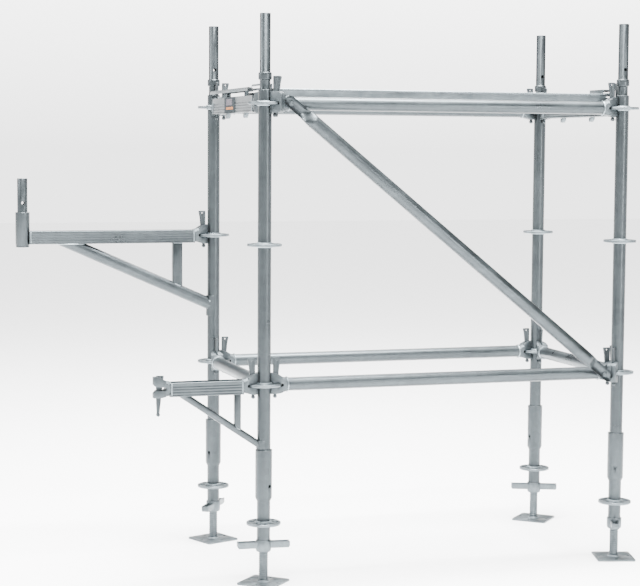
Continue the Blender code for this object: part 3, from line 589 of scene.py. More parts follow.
def make_collar():
    """Base collar: lower tube swelling into the sleeve."""
    sleeve = 0.0305
    bore = 0.0248
    profile = [
        (TUBE_BORE, 0.1572), (TUBE_RADIUS - 0.0008, 0.157), (TUBE_RADIUS, 0.1578),
        (TUBE_RADIUS, 0.2975), (TUBE_RADIUS + 0.0008, 0.3), (sleeve - 0.001, 0.31),
        (sleeve, 0.3125), (sleeve, 0.4842), (sleeve - 0.0008, 0.485), (bore + 0.0012, 0.485),
        (bore, 0.4838), (bore, 0.31), (TUBE_BORE, 0.31),
    ]
    pin = rod((-0.04, 0.0, 0.355), (0.04, 0.0, 0.355), 0.006, 24)
    return softened(cut(lathe(profile, 64), pin), 0.0005, 2, 50.0)


# jacks

def make_spindle():
    """Rolled round thread as a true helix, with plain ends."""
    rise = THREAD_PITCH / 5.0
    low = 0.0115
    high = 0.4998
    count = int((high - low) / rise)
    work = bmesh.new()
    rings = []
    for index in range(count + 1):
        height = low + (high - low) * index / count
        fade = min(1.0, (height - low) / 0.006, (high - height) / 0.006)
        ring = []
        for angle in angles(24):
            phase = (height / THREAD_PITCH - angle / (2.0 * math.pi)) % 1.0
            crest = 0.5 - 0.5 * math.cos(2.0 * math.pi * phase)
            crest = min(1.0, max(0.0, (crest - 0.18) / 0.6))
            radius = SPINDLE_ROOT + (SPINDLE_RADIUS - SPINDLE_ROOT) * crest * fade
            ring.append(work.verts.new((radius * math.cos(angle), radius * math.sin(angle), height)))
        rings.append(ring)
    return skin(work, rings)


def make_plate():
    """Base plate with clipped corners, four nail holes and a raised boss."""
    half = 0.0725
    clip = 0.006
    side = [(clip, -half), (0.0, clip - half), (0.0, half - clip), (clip, half)]
    outline = list(reversed(two_sided(side, -half, half)))
    plate = prism(rounded(outline, 0.004, 4), 0.0, 0.006)
    holes = []
    for quarter in range(4):
        hole = rod((0.056, 0.0, -0.01), (0.056, 0.0, 0.02), 0.006, 24)
        holes.append(moved(hole, degrees=90.0 * quarter))
    plate = cut(plate, gathered(holes))
    boss = lathe([(0.0, 0.004), (0.0205, 0.004), (0.0205, 0.0085), (0.0185, 0.0118), (0.0, 0.0118)], 48)
    return softened(welded([plate, boss]), 0.0007, 2, 40.0)


def make_nut():
    """Cast jack nut: collar body with two channel arms and strengthening webs."""
    body = lathe([
        (0.018, 0.115), (0.0235, 0.115), (0.0262, 0.1172), (0.0278, 0.124), (0.028, 0.1545),
        (0.0268, 0.1567), (0.019, 0.1567), (0.0176, 0.1552), (0.0176, 0.1165),
    ], 56)
    half = 0.0145
    low = 0.128
    profile = [(0.0065, low + 0.009), (0.0045, low + 0.023), (0.0, low + 0.023)]
    profile += [(0.0, low + 0.006), (0.0015, low)]
    section = two_sided(profile, -half, half)
    arm = prism(section, 0.0215, 0.095, "X")
    end_low = prism([(0.086, 0.12), (0.1, 0.12), (0.1, 0.142)], -0.02, 0.02, "Y")
    arm = cut(arm, end_low)
    tip = prism(rounded(rectangle(0.09, -0.01, 0.0945, 0.01), 0.002), 0.1365, 0.149)
    arm = welded([arm, tip])
    arms = [moved(arm, degrees=degrees) for degrees in (0.0, 180.0)]
    return softened(welded([body] + arms), 0.0012, 3, 32.0)


# wedge heads

def head_blank(back, half_width, tail):
    """Side profile of a cast head trimmed to its sector plan and to the post."""
    side = [(0.031, 0.0063), (0.02, 0.018), (0.02, HEAD_TOP)]
    side += tail
    side += [(0.02, -0.033), (0.02, -0.018), (0.031, -0.0063)]
    keyhole = []
    for step in range(9):
        angle = math.radians(-90.0 + 22.5 * step)
        keyhole.append((0.0617 + 0.0055 * math.cos(angle), 0.0058 * math.sin(angle)))
    side += [(0.059, -0.0063)] + keyhole + [(0.059, 0.0063)]
    flare = half_width / 0.4
    plan = [
        (0.018, -0.0072), (flare - 0.004, -half_width + 0.0016), (flare + 0.003, -half_width),
        (back + 0.001, -half_width), (back + 0.001, half_width), (flare + 0.003, half_width),
        (flare - 0.004, half_width - 0.0016), (0.018, 0.0072),
    ]
    blank = combined(prism(side, -0.03, 0.03, "Y"), prism(plan, -0.06, 0.07), "INTERSECT")
    return cut(blank, rod((0.0, 0.0, -0.08), (0.0, 0.0, 0.08), HEAD_CLEAR, 64))


def slotted(mesh):
    """Cut the wedge slots through both jaws."""
    upper = box((0.0331, -0.0034, 0.0), (0.0616, 0.0034, 0.06))
    lower = box((0.0331, -0.0066, -0.05), (0.056, 0.0066, 0.0))
    return cut(cut(mesh, upper), lower)


def make_head():
    """Wedge head: jaws, keyhole slot, rounded back and shallow side pockets."""
    tail = [
        (0.034, HEAD_TOP), (0.04, 0.0413), (0.046, 0.0397), (0.052, 0.0368), (0.058, 0.0328),
        (0.064, 0.029), (0.07, 0.0262), (0.076, 0.0247), (HEAD_BACK, 0.0241),
        (HEAD_BACK, -0.0241), (0.074, -0.025), (0.062, -0.0278), (0.048, -0.0318),
        (0.038, -0.033),
    ]
    blank = head_blank(HEAD_BACK, 0.024, tail)
    profile = [(0.0, 0.06), (0.031, 0.06), (0.031, 0.07)]
    profile += [(0.0246, 0.083), (0.0246, 0.086), (0.0, 0.086)]
    round_back = lathe(profile, 64)
    round_back.transform(TURN_Y)
    keep = welded([round_back, box((0.0, -0.03, -0.05), (0.064, 0.03, 0.06))])
    blank = combined(blank, keep, "INTERSECT")
    for side in (-1, 1):
        pocket = [(0.036, 0.011), (0.036, 0.0355), (0.045, 0.033), (0.056, 0.025), (0.059, 0.011)]
        depth = prism(rounded(pocket, 0.003, 3), 0.0, 0.01, "Y")
        depth.transform(Matrix.Translation((0.0, 0.001, 0.0)))
        turn = Matrix.Rotation(math.atan(0.4), 4, "Z") @ Matrix.Translation((0.002, 0.0, 0.0))
        depth.transform(turn)
        if side < 0:
            depth = mirrored(depth, "Y")
        blank = cut(blank, depth)
    return softened(slotted(blank), 0.0009, 2, 35.0)


def make_brace_head():
    """Head of the brace with its lug and pivot boss, for a brace leaving towards -X."""
    tail = [
        (0.056, HEAD_TOP), (0.062, 0.04), (0.07, 0.036), (0.074, 0.031), (0.074, -0.024),
        (0.069, -0.03), (0.06, -0.033),
    ]
    blank = moved(slotted(head_blank(0.074, 0.017, tail)), degrees=225.0)
    blank = cut(blank, box((-0.12, -0.09, -0.06), (-0.0515, LUG_FACE, 0.06)))
    outline = [(-0.053, -0.019), (-0.08, -0.0185), (-0.102, -0.012)]
    outline += [(x, -z) for x, z in reversed(outline)]
    lug = prism(rounded(outline, 0.01, 5), LUG_FACE, -0.037, "Y")
    return softened(welded([blank, lug]), 0.0009, 2, 35.0)


def make_brace_rivet():
    """Domed pivot rivet on a washer."""
    profile = [(0.0, 0.0), (0.0065, 0.0), (0.0065, 0.0085)]
    profile += [(0.0098, 0.0085), (0.0098, 0.0096), (0.008, 0.01)]
    for step in range(7):
        angle = math.radians(90.0 * step / 6.0)
        profile.append((0.0074 * math.cos(angle), 0.01 + 0.0034 * math.sin(angle)))
    profile[-1] = (0.0, 0.0134)
    rivet = lathe(profile, 40)
    rivet.transform(TURN_X)
    return rivet


def make_wedge():
    """Forged wedge: flat tapered plate with a hammered top, a hole and a tail rivet."""
    outline = [
        (-0.008, -0.052), (0.001, -0.052), (0.011, 0.042), (0.0125, 0.06), (0.015, 0.074),
        (0.017, 0.0815), (0.017, 0.0878), (-0.0105, 0.0878), (-0.0105, -0.01),
    ]
    plate = prism(rounded(outline, 0.0034, 5), -0.003, 0.003, "Y")
    hole = rod((0.003, -0.02, 0.079), (0.003, 0.02, 0.079), 0.0027, 20)
    plate = softened(cut(plate, hole), 0.0007, 2, 40.0)
    head = [(0.0, 0.0), (0.0046, 0.0), (0.0066, 0.0012), (0.0066, 0.0104), (0.0046, 0.0116), (0.0, 0.0116)]
    rivet = lathe(head, 28)
    rivet.transform(Matrix.Translation((-0.0035, 0.0058, -0.05)) @ TURN_X)
    return welded([plate, rivet])


HEAD = make_head()
BRACE_HEAD = make_brace_head()
WEDGE = make_wedge()
HEAD_WELD = bead(ring_about_x(TUBE_RADIUS + 0.0006, HEAD_BACK + 0.0004, 110), 0.0032)


# beams

def ribbed_half(high):
    """Half profile of a channel as (inset, height): hollow side first, then the ribbed outer web."""
    floor = BEAM_LOW + BEAM_WALL
    points = [(BEAM_WALL + 0.004, floor), (BEAM_WALL + 0.0025, floor + 0.0006), (BEAM_WALL, high)]
    points += [(0.001, high), (0.0, high - 0.001), (0.0, BEAM_LOW + 0.042)]
    for centre in (0.037, 0.028, 0.018, 0.008):
        for step in range(9):
            share = step / 8.0
            height = BEAM_LOW + centre + 0.0038 - 0.0076 * share
            points.append((0.0011 * (0.5 - 0.5 * math.cos(2.0 * math.pi * share)), height))
    return points + [(0.0, BEAM_LOW + 0.0035), (0.001, BEAM_LOW + 0.001), (0.0035, BEAM_LOW)]


def make_beam(start, end, slots=(), high=BEAM_HIGH):
    """Rolled open channel along X with closing plates and optional floor slots."""
    outline = list(reversed(two_sided(ribbed_half(high), -BEAM_HALF, BEAM_HALF)))
    pieces = [prism(outline[3:] + outline[:3], start, end, "X")]
    for low in (start, end - 0.004):
        pieces.append(prism(rectangle(-0.0225, BEAM_LOW + 0.002, 0.0225, high), low, low + 0.004, "X"))
    beam = welded(pieces)
    cutters = [box((spot - 0.036, -0.01, -0.04), (spot + 0.008, 0.01, -0.02)) for spot in slots]
    return cut(beam, gathered(cutters)) if cutters else beam


def beam_end_welds(along):
    """Beads down both webs where a channel meets its head."""
    beads = []
    for y in (0.0006 - BEAM_HALF, BEAM_HALF - 0.0006):
        run = line((along, y, BEAM_LOW + 0.004), (along, y, BEAM_HIGH - 0.003))
        beads.append(bead(run, 0.0028, closed=False))
    return beads


# brace

def make_brace():
    """Brace tube pressed to an open cup at each end; local X runs down the brace."""
    reach_x = 0.08
    length = math.hypot(BAY_LENGTH - 2.0 * reach_x, TOP_LEVEL - LOW_LEVEL)
    centre = -0.065

    def half_width(along):
        tip = -0.028
        if along < -0.01:
            share = (along - tip) / (-0.01 - tip)
            return 0.0205 * math.sqrt(max(0.05, 1.0 - (1.0 - share) ** 2))
        return 0.0205

    def share_at(along):
        if along < 0.05:
            return 1.0
        if along > 0.104:
            return 0.0
        share = 1.0 - (along - 0.05) / 0.054
        return share * share * (3.0 - 2.0 * share)

    stations = [-0.028, -0.0272, -0.0255, -0.0225, -0.018, -0.01, 0.0, 0.012, 0.024]
    stations += [0.038, 0.05 - 0.0001] + [0.05 + 0.054 * step / 20.0 for step in range(1, 21)]
    spots = [(along, share_at(along), half_width(along)) for along in stations]
    spots += [(length - along, share, half) for along, share, half in reversed(spots)]
    work = bmesh.new()
    rings = []
    for along, share, half in spots:
        ring = []
        for across, depth in round_points(1.0, 48):
            bowl = 0.023 * (1.0 - math.sqrt(max(0.0, 1.0 - (0.97 * across) ** 2)))
            cup_y = LUG_FACE - 0.0004 - bowl
            if depth < 0.0:
                cup_y -= 0.0036 * min(1.0, (-depth * 2.2)) ** 0.7
            width = TUBE_RADIUS * across * (1.0 - share) + half * across * share
            forward = (centre + TUBE_RADIUS * depth) * (1.0 - share) + cup_y * share
            ring.append(work.verts.new((along, forward, width)))
        rings.append(ring)
    return skin(work, rings), length


# brackets

def make_saddle(level, height, outer):
    """Half shell under a bracket, open towards -X."""
    low = level - height / 2.0
    high = level + height / 2.0
    shell = lathe([
        (HEAD_CLEAR, low), (outer - 0.001, low), (outer, low + 0.001), (outer, high - 0.001),
        (outer - 0.001, high), (HEAD_CLEAR, high),
    ], 64)
    return cut(shell, box((-0.06, -0.06, level - 0.1), (0.0045, 0.06, level + 0.1)))


def trimmed_member(start, end, radius, post_level):
    """Bracket brace cut flush under the beam and around the post."""
    member = rod(start, end, radius, 48)
    member = cut(member, box((0.0, -0.05, BEAM_LOW + 0.0025), (0.9, 0.05, 0.1)))
    post = rod((0.0, 0.0, post_level - 0.15), (0.0, 0.0, post_level + 0.15), HEAD_CLEAR, 64)
    return cut(member, post)


def slope_height(start, end, along):
    """Height of a sloping centre line at a distance along X."""
    return end[2] + (start[2] - end[2]) * (along - end[0]) / (start[0] - end[0])


def ellipse_weld(start, end, along, half_x, half_y, lift, radius=0.0026):
    """Bead where an upright strut lands on a sloping member."""
    points = []
    for across, depth in round_points(1.0, 72):
        x = along + half_x * across
        y = half_y * depth
        drop = lift - math.sqrt(max(0.0, lift * lift - y * y))
        points.append((x, y, slope_height(start, end, x) + lift * 1.08 - drop))
    return bead(points, radius)


# deck and lids

def perforated(low, high, height, thickness, pitch, hole):
    """Sheet with a regular field of round holes, made as one closed solid, and the field's corners."""
    columns = int((high[0] - low[0]) / pitch)
    rows = int((high[1] - low[1]) / pitch)
    first_x = (low[0] + high[0] - columns * pitch) / 2.0
    first_y = (low[1] + high[1] - rows * pitch) / 2.0
    floor = height - thickness
    work = bmesh.new()
    cache = {}

    def corner(x, y, z):
        key = (round(x, 6), round(y, 6), round(z, 6))
        if key not in cache:
            cache[key] = work.verts.new((x, y, z))
        return cache[key]

    def ring(x, y, z, reach, square):
        corners = []
        for angle in angles(12):
            across = math.cos(angle + math.radians(45.0))
            along = math.sin(angle + math.radians(45.0))
            far = reach / max(abs(across), abs(along)) if square else reach
            corners.append(corner(x + far * across, y + far * along, z))
        return corners

    for column in range(columns):
        for row in range(rows):
            x = first_x + (column + 0.5) * pitch
            y = first_y + (row + 0.5) * pitch
            cells = [ring(x, y, z, pitch / 2.0, True) for z in (height, floor)]
            if (column + row) % 2:
                for cell in cells:
                    work.faces.new(cell)
                continue
            rims = [ring(x, y, z, hole, False) for z in (height, floor)]
            for outer, inner in ((cells[0], rims[0]), (cells[1], rims[1]), rims):
                for step in range(12):
                    after = (step + 1) % 12
                    work.faces.new((outer[step], outer[after], inner[after], inner[step]))
    rim = []
    for edge in work.edges:
        first, second = edge.verts
        if len(edge.link_faces) == 1 and min(first.co.z, second.co.z) > height - 0.000001:
            rim.append((first, second))
    for first, second in rim:
        lower = [corner(point.co.x, point.co.y, floor) for point in (second, first)]
        work.faces.new((first, second, *lower))
    return to_mesh(work), (first_x, first_y, first_x + columns * pitch, first_y + rows * pitch)


def make_deck_shell(near, far, low, high, start, end):
    """Folded sides, lips and the solid margins of the deck sheet."""
    sheet = 0.0022
    half = [
        (0.0022, high), (0.0004, high - 0.002), (0.0012, high - 0.005), (0.0012, high - 0.008),
        (0.0, high - 0.011), (0.0, low), (0.016, low), (0.016, low + 0.005), (0.0145, low + 0.005),
        (0.0145, low + sheet), (sheet, low + sheet), (sheet, high - 0.01),
        (sheet + 0.0012, high - 0.008), (sheet + 0.0012, high - 0.0045),
        (sheet, high - sheet - 0.0006), (sheet + 0.0006, high - sheet),
    ]
    return prism(two_sided(half, near, far), start, end, "X")


def make_claw():
    """Deck hook that drops into the channel, seen from its side in XZ."""
    outline = [
        (0.047, 0.035), (0.0203, 0.035), (0.0203, 0.004), (0.016, 0.001), (0.008, 0.001),
        (0.008, 0.03), (-0.0018, 0.034), (-0.0018, 0.0425), (0.047, 0.0425),
    ]
    return softened(prism(rounded(outline, 0.003, 3), -0.012, 0.012, "Y"), 0.001, 2, 35.0)


def make_crest():
    """Folded hook plate over the end of the deck: two shelves with an open slot between them."""
    start = DECK_END
    top = DECK_CREST
    outline = [
        (start + 0.0038, 0.03), (start + 0.0038, top), (0.004, top), (0.0006, top - 0.003),
        (0.0002, top - 0.0078), (0.003, top - 0.0078), (0.005, top - 0.004),
        (start, top - 0.004), (start, top - 0.0152), (0.006, top - 0.0152),
        (0.001, top - 0.018), (0.0002, top - 0.0238), (0.004, top - 0.0238),
        (0.007, top - 0.019), (start, top - 0.019), (start, 0.03),
    ]
    return softened(prism(outline, CREST_NEAR + 0.0005, CREST_FAR - 0.0005, "Y"), 0.0007, 2, 35.0)


def make_lid(half, low, high, near, reach, outward):
    """Lift-off guard: folded strip with turned lips and a tongue at each end on its outer side."""
    sheet = 0.0022
    profile = [
        (0.002, high), (0.0006, high - 0.0006), (0.0, high - 0.002), (0.0, low), (0.0042, low),
        (0.0042, low + sheet), (sheet, low + sheet), (sheet, high - sheet - 0.001),
        (sheet + 0.001, high - sheet),
    ]
    strip = prism(two_sided(profile, -half, half), near, reach, "X")
    edges = sorted((-outward * (half + 0.02), outward * LID_TONGUE_EDGE))
    for start, end in ((near - 0.02, LID_NEAR), (LID_FAR, reach + 0.02)):
        notch = rounded(rectangle(start, edges[0], end, edges[1]), 0.004, 4)
        strip = cut(strip, prism(notch, low - 0.02, high + 0.02))
    return strip


def make_strap(spot, top):
    """Hook strap of a lid: down through the channel floor and curled under it."""
    hook = [
        (spot + 0.004, top), (spot + 0.004, -0.0305), (spot + 0.011, -0.031),
        (spot + 0.017, -0.0305), (spot + 0.019, -0.04), (spot + 0.0165, -0.0465),
        (spot + 0.01, -0.0478), (spot - 0.001, -0.04), (spot - 0.004, -0.033),
        (spot - 0.004, top),
    ]
    return softened(prism(hook, -0.008, 0.008, "Y"), 0.0012, 2, 30.0)


# assembly

def build_uprights():
    """Standards, joint pins, base collars, jacks and nuts."""
    standard = make_standard()
    spigot = make_spigot()
    collar = make_collar()
    spindle = make_spindle()
    plate = make_plate()
    nut = make_nut()
    foot_weld = bead(circle(0.0208, 0.0062, 110), 0.003)
    standard_welds = []
    rings = []
    for level in (LOW_LEVEL, MID_LEVEL, TOP_LEVEL):
        rings.append(moved(ROSETTE, (0.0, 0.0, level)))
        standard_welds += rosette_welds(level)
    rings = gathered(rings)
    standard_welds = gathered(standard_welds)
    collar_turn = {"front_left": -61, "front_right": 62, "rear_left": -137, "rear_right": -158}
    plate_turn = {"front_left": -43, "front_right": -16, "rear_left": 22, "rear_right": -43}
    nut_turn = {"front_left": -6, "front_right": 66, "rear_left": 56, "rear_right": -22}
    for corner in CORNERS:
        post = POST[corner]
        here = at(post)
        name = "standard_" + corner
        steel(name + "_tube", standard, UPRIGHT_ZINC_PAINTED_SHADE, here, name)
        steel(name + "_rosettes", rings, ROSETTE_ZINC, here)
        steel(name + "_welds", standard_welds, WELD_ZINC, here)
        pin_turn = 90.0 if corner == "front_left" else 0.0
        name = "spigot_" + corner
        steel(name + "_pin", spigot, UPRIGHT_ZINC_PAINTED_SHADE, at(post, 0.0, pin_turn), name)
        turned = at(post, 0.0, collar_turn[corner])
        name = "collar_" + corner
        steel(name + "_sleeve", collar, UPRIGHT_ZINC_PAINTED_SHADE, turned, name)
        low_ring = moved(ROSETTE, (0.0, 0.0, COLLAR_LEVEL))
        steel(name + "_rosette", low_ring, ROSETTE_ZINC, turned)
        welds = gathered(rosette_welds(COLLAR_LEVEL))
        steel(name + "_welds", welds, WELD_ZINC, turned)
        name = "jack_" + corner
        turned = at(post, 0.0, plate_turn[corner])
        put(name + "_plate", plate, PRESSED_ZINC, name, "spindle_steel", [name], turned)
        put(name + "_spindle", spindle, THREAD_ZINC, name, "spindle_steel", (), turned)
        put(name + "_weld", foot_weld, WELD_ZINC, name, "spindle_steel", (), turned)
        name = "jack_nut_" + corner
        turned = at(post, 0.0, nut_turn[corner])
        put(name + "_casting", nut, NUT_ZINC, name, "galvanised_casting", [name], turned)


def put_heads(name, length, place, material=CAST_ZINC, weld=True):
    """Both wedge heads of a member and their weld beads."""
    far = Matrix.Translation((length, 0.0, 0.0)) @ Matrix.Rotation(math.pi, 4, "Z")
    steel(name + "_head_a", HEAD, material, place)
    steel(name + "_head_b", HEAD, material, place @ far)
    if weld:
        beads = HEAD_WELD.copy()
        beads.transform(far)
        steel(name + "_welds", gathered([HEAD_WELD, beads]), WELD_ZINC, place)


def build_ledgers():
    """Round ledgers in both directions."""
    inset = HEAD_BACK - 0.004
    places = [(side, TOP_LEVEL) for side in ("front", "rear")]
    places += [(side, LOW_LEVEL) for side in ("front", "rear", "left", "right")]
    for side, level in places:
        name = ("ledger_top_" if level == TOP_LEVEL else "ledger_low_") + side
        if side in ("front", "rear"):
            place = at(POST[side + "_left"], level)
            length = BAY_LENGTH
            zinc = LENGTH_ZINC
        else:
            place = at(POST["front_" + side], level, 90.0)
            length = BAY_WIDTH
            zinc = WIDTH_ZINC_PAINTED_LIGHT
        tube = rod((inset, 0.0, 0.0), (length - inset, 0.0, 0.0), TUBE_RADIUS, 56)
        steel(name + "_tube", tube, zinc, place, name)
        put_heads(name, length, place)


def build_transoms():
    """Channel transoms with their lids and the blank tag."""
    start = HEAD_BACK - 0.004
    beam = make_beam(start, BAY_WIDTH - start, STRAP_SPOTS, TRANSOM_HIGH)
    beads = beam_end_welds(HEAD_BACK + 0.0006) + beam_end_welds(BAY_WIDTH - HEAD_BACK - 0.0006)
    for side in ("left", "right"):
        name = "transom_top_" + side
        post = POST["front_" + side]
        place = at(post, TOP_LEVEL, 90.0)
        steel(name + "_channel", beam, WIDTH_ZINC_PAINTED_LIGHT, place, name)
        put_heads(name, BAY_WIDTH, place, weld=False)
        steel(name + "_welds", gathered(beads), WELD_ZINC, place)
        name = "lid_" + side
        low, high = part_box(name)
        half = (high[0] - low[0]) / 2.0
        crown = high[2] - TOP_LEVEL
        outward = 1 if side == "left" else -1
        lid = make_lid(half, LID_LOW, crown, low[1] - post.y, high[1] - post.y, outward)
        put(name + "_strip", lid, PRESSED_ZINC, name, "galvanised_plate", [name], place)
        straps = gathered([make_strap(spot, crown - 0.0016) for spot in STRAP_SPOTS])
        put(name + "_straps", straps, PRESSED_ZINC, name, "galvanised_plate", (), place)
    low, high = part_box("tag")
    half_y = (high[1] - low[1]) / 2.0
    half_z = (high[2] - low[2]) / 2.0
    here = Matrix.Translation(middle("tag"))
    plate = rounded(rectangle(-half_y, -half_z, half_y, half_z), 0.004, 4)
    plate = prism(plate, -0.0003, 0.0006, "X")
    put("tag_plate", plate, TAG_DARK, "structure", "tag_plastic", ["tag"], here)
    prints = [
        ("tag_panel", (-0.036, 0.0, 0.05, 0.023), 0.002, TAG_PALE),
        ("tag_bar", (-0.05, -0.016, 0.05, -0.0065), 0.001, TAG_AMBER),
    ]
    for name, area, corner, film in prints:
        panel = prism(rounded(rectangle(*area), corner, 3), -0.0006, 0.0, "X")
        put(name, panel, film, "structure", "tag_plastic", (), here)


def build_brace():
    """Diagonal brace with its heads and pivot rivets."""
    tube, length = make_brace()
    angle = math.atan2(TOP_LEVEL - LOW_LEVEL, BAY_LENGTH - 0.16)
    start = POST["front_left"] + Vector((0.08, 0.0, TOP_LEVEL))
    place = Matrix.Translation(start) @ Matrix.Rotation(angle, 4, "Y")
    put("brace_tube_body", tube, LENGTH_ZINC, "structure", "galvanised_tube", ["brace_tube"], place, 60.0)
    rivet = make_brace_rivet()
    for along, label in ((0.0, "top"), (length, "low")):
        spot = place @ Vector((along, LUG_FACE + 0.001, 0.0))
        put("brace_rivet_" + label, rivet, CAST_ZINC, *CAST_WORK, (), Matrix.Translation(spot))
    heads = [
        ("brace_head_top", mirrored(BRACE_HEAD), at(POST["front_left"], TOP_LEVEL)),
        ("brace_head_low", BRACE_HEAD, at(POST["front_right"], LOW_LEVEL)),
    ]
    for name, head, place in heads:
        put(name + "_casting", head, CAST_ZINC, *CAST_WORK, [name], place)


def put_bracket(name, place, far, brace, foot, saddle, strut):
    """Beam, brace, saddle and strut of a bracket whose saddle is centred at the level foot."""
    start, end, radius = brace
    along, half_x, half_y = strut
    member = trimmed_member(start, end, radius, foot)
    outline = rounded(rectangle(along - half_x, -half_y, along + half_x, half_y), 0.006, 4)
    bar = prism(outline, slope_height(start, end, along), BEAM_LOW + 0.002)
    steel(name + "_beam", make_beam(HEAD_BACK - 0.004, far), LENGTH_ZINC, place, name)
    steel(name + "_strut", softened(bar, 0.0008), UPRIGHT_ZINC_PAINTED_SHADE, place)
    shell = make_saddle(foot, *saddle)
    steel(name + "_brace", welded([member, shell]), LENGTH_ZINC, place)


def build_large_bracket():
    """Bracket that carries an outer standard."""
    name = "bracket_large"
    place = at(POST["rear_left"], MID_LEVEL, 180.0)
    reach = POST["rear_left"].x - middle("bracket_large_spigot").x
    end = (0.01, 0.0, -0.275)
    start = (0.688, 0.0, BEAM_LOW + 0.054)
    strut = (0.147, 0.019, 0.015)
    put_bracket(name, place, reach - 0.0225, (start, end, 0.0235), -0.279, (0.08, 0.0295), strut)
    steel(name + "_head", HEAD, CAST_ZINC, place)
    radius = 0.027
    post = lathe([
        (0.0205, -0.04), (radius - 0.0022, -0.04), (radius - 0.0014, -0.039),
        (radius - 0.0014, -0.031), (radius, -0.0285), (radius, 0.0922), (radius - 0.0008, 0.093),
        (0.0208, 0.093), (0.02, 0.0922), (0.02, -0.0392),
    ], 56)
    outer = place @ Matrix.Translation((reach, 0.0, 0.0))
    steel(name + "_post", post, UPRIGHT_ZINC_PAINTED_SHADE, outer)
    pin = lathe([
        (SPIGOT_BORE, 0.0), (0.0197, 0.0), (0.0197, 0.088), (0.0194, 0.0935), (0.0194, 0.2203),
        (0.0184, 0.222), (SPIGOT_BORE + 0.0008, 0.222), (SPIGOT_BORE, 0.2212),
    ], 56)
    pin = softened(cut(pin, rod((0.0, -0.04, 0.129), (0.0, 0.04, 0.129), 0.0065, 24)), 0.0005, 2, 45.0)
    spot = Vector((POST["rear_left"].x - reach, POST["rear_left"].y, MID_LEVEL))
    node = name + "_spigot"
    steel(node + "_pin", pin, UPRIGHT_ZINC_PAINTED_SHADE, Matrix.Translation(spot), node)
    beads = beam_end_welds(HEAD_BACK + 0.0006) + beam_end_welds(reach - radius - 0.001)
    beads.append(ellipse_weld(start, end, 0.147, 0.0195, 0.0155, 0.0235))
    for y in (-0.0152, 0.0152):
        beads.append(bead(line((0.13, y, BEAM_LOW), (0.164, y, BEAM_LOW)), 0.0024, closed=False))
    toe = [(0.566 + x, 0.407 * y, BEAM_LOW - 0.0004) for x, y in round_points(0.0585, 96)]
    beads.append(bead(toe, 0.0026))
    saddle_line = []
    for step in range(60):
        angle = math.radians(-52.0 + 104.0 * step / 59.0)
        height = -0.26 + 0.006 * math.cos(angle * 2.0)
        saddle_line.append((0.03 * math.cos(angle), 0.03 * math.sin(angle), height))
    beads.append(bead(saddle_line, 0.0028, closed=False))
    steel(name + "_welds", gathered(beads), WELD_ZINC, place)
    dimple = lathe([(0.0, 0.0), (0.0062, 0.0), (0.0058, 0.001), (0.004, 0.0017), (0.0, 0.002)], 24)
    dimple.transform(TURN_Y)
    crimps = []
    for height in (0.056, 0.005):
        for degrees in (0.0, 90.0, 180.0, 270.0):
            crimps.append(moved(moved(dimple, (radius - 0.0022, 0.0, height)), degrees=degrees))
    steel(name + "_crimps", gathered(crimps), WELD_ZINC, outer)


def build_small_bracket():
    """Bracket that ends in an outward wedge head."""
    name = "bracket_small"
    place = at(POST["front_left"], LOW_LEVEL, 180.0)
    reach = POST["front_left"].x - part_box(name)[0][0] + HEAD_CLEAR
    start = (0.3007, 0.0, BEAM_LOW + 0.0055)
    end = (0.01, 0.0, -0.22)
    strut = (0.098, 0.012, 0.01)
    brace = (start, end, 0.0125)
    put_bracket(name, place, reach - HEAD_BACK + 0.004, brace, -0.214, (0.03, 0.0285), strut)
    put_heads(name, reach, place, weld=False)
    beads = beam_end_welds(HEAD_BACK + 0.0006) + beam_end_welds(reach - HEAD_BACK - 0.0006)
    beads.append(ellipse_weld(start, end, 0.098, 0.0125, 0.01, 0.0125, 0.002))
    steel(name + "_welds", gathered(beads), WELD_ZINC, place)


def build_wedges():
    """Every wedge, each on its own body."""
    spots = []
    for label, level in (("top", TOP_LEVEL), ("low", LOW_LEVEL)):
        for row in ("front", "rear"):
            spots.append(("wedge_" + label + "_" + row + "_a", POST[row + "_left"], level, 0.0))
            spots.append(("wedge_" + label + "_" + row + "_b", POST[row + "_right"], level, 180.0))
        for side in ("left", "right"):
            spots.append(("wedge_" + label + "_" + side + "_a", POST["front_" + side], level, 90.0))
            spots.append(("wedge_" + label + "_" + side + "_b", POST["rear_" + side], level, 270.0))
    spots.append(("brace_wedge_top", POST["front_left"], TOP_LEVEL, -45.0))
    spots.append(("brace_wedge_low", POST["front_right"], LOW_LEVEL, 225.0))
    spots.append(("bracket_large_wedge", POST["rear_left"], MID_LEVEL, 180.0))
    spots.append(("bracket_small_wedge", POST["front_left"], LOW_LEVEL, 180.0))
    shift = Matrix.Translation((WEDGE_CENTRE, 0.0, 0.0))
    name = "bracket_small_loose_wedge"
    outer = POST["front_left"] + Vector((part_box("bracket_small")[0][0] - HEAD_CLEAR, 0.0, 0.0))
    spots.append((name, outer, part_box(name)[1][2] - 0.088 - WEDGE_RISE, 0.0))
    for name, post, level, degrees in spots:
        place = at(post, level + WEDGE_RISE, degrees) @ shift
        put(name + "_plate", WEDGE, WEDGE_ZINC, name, "wedge_steel", [name], place)


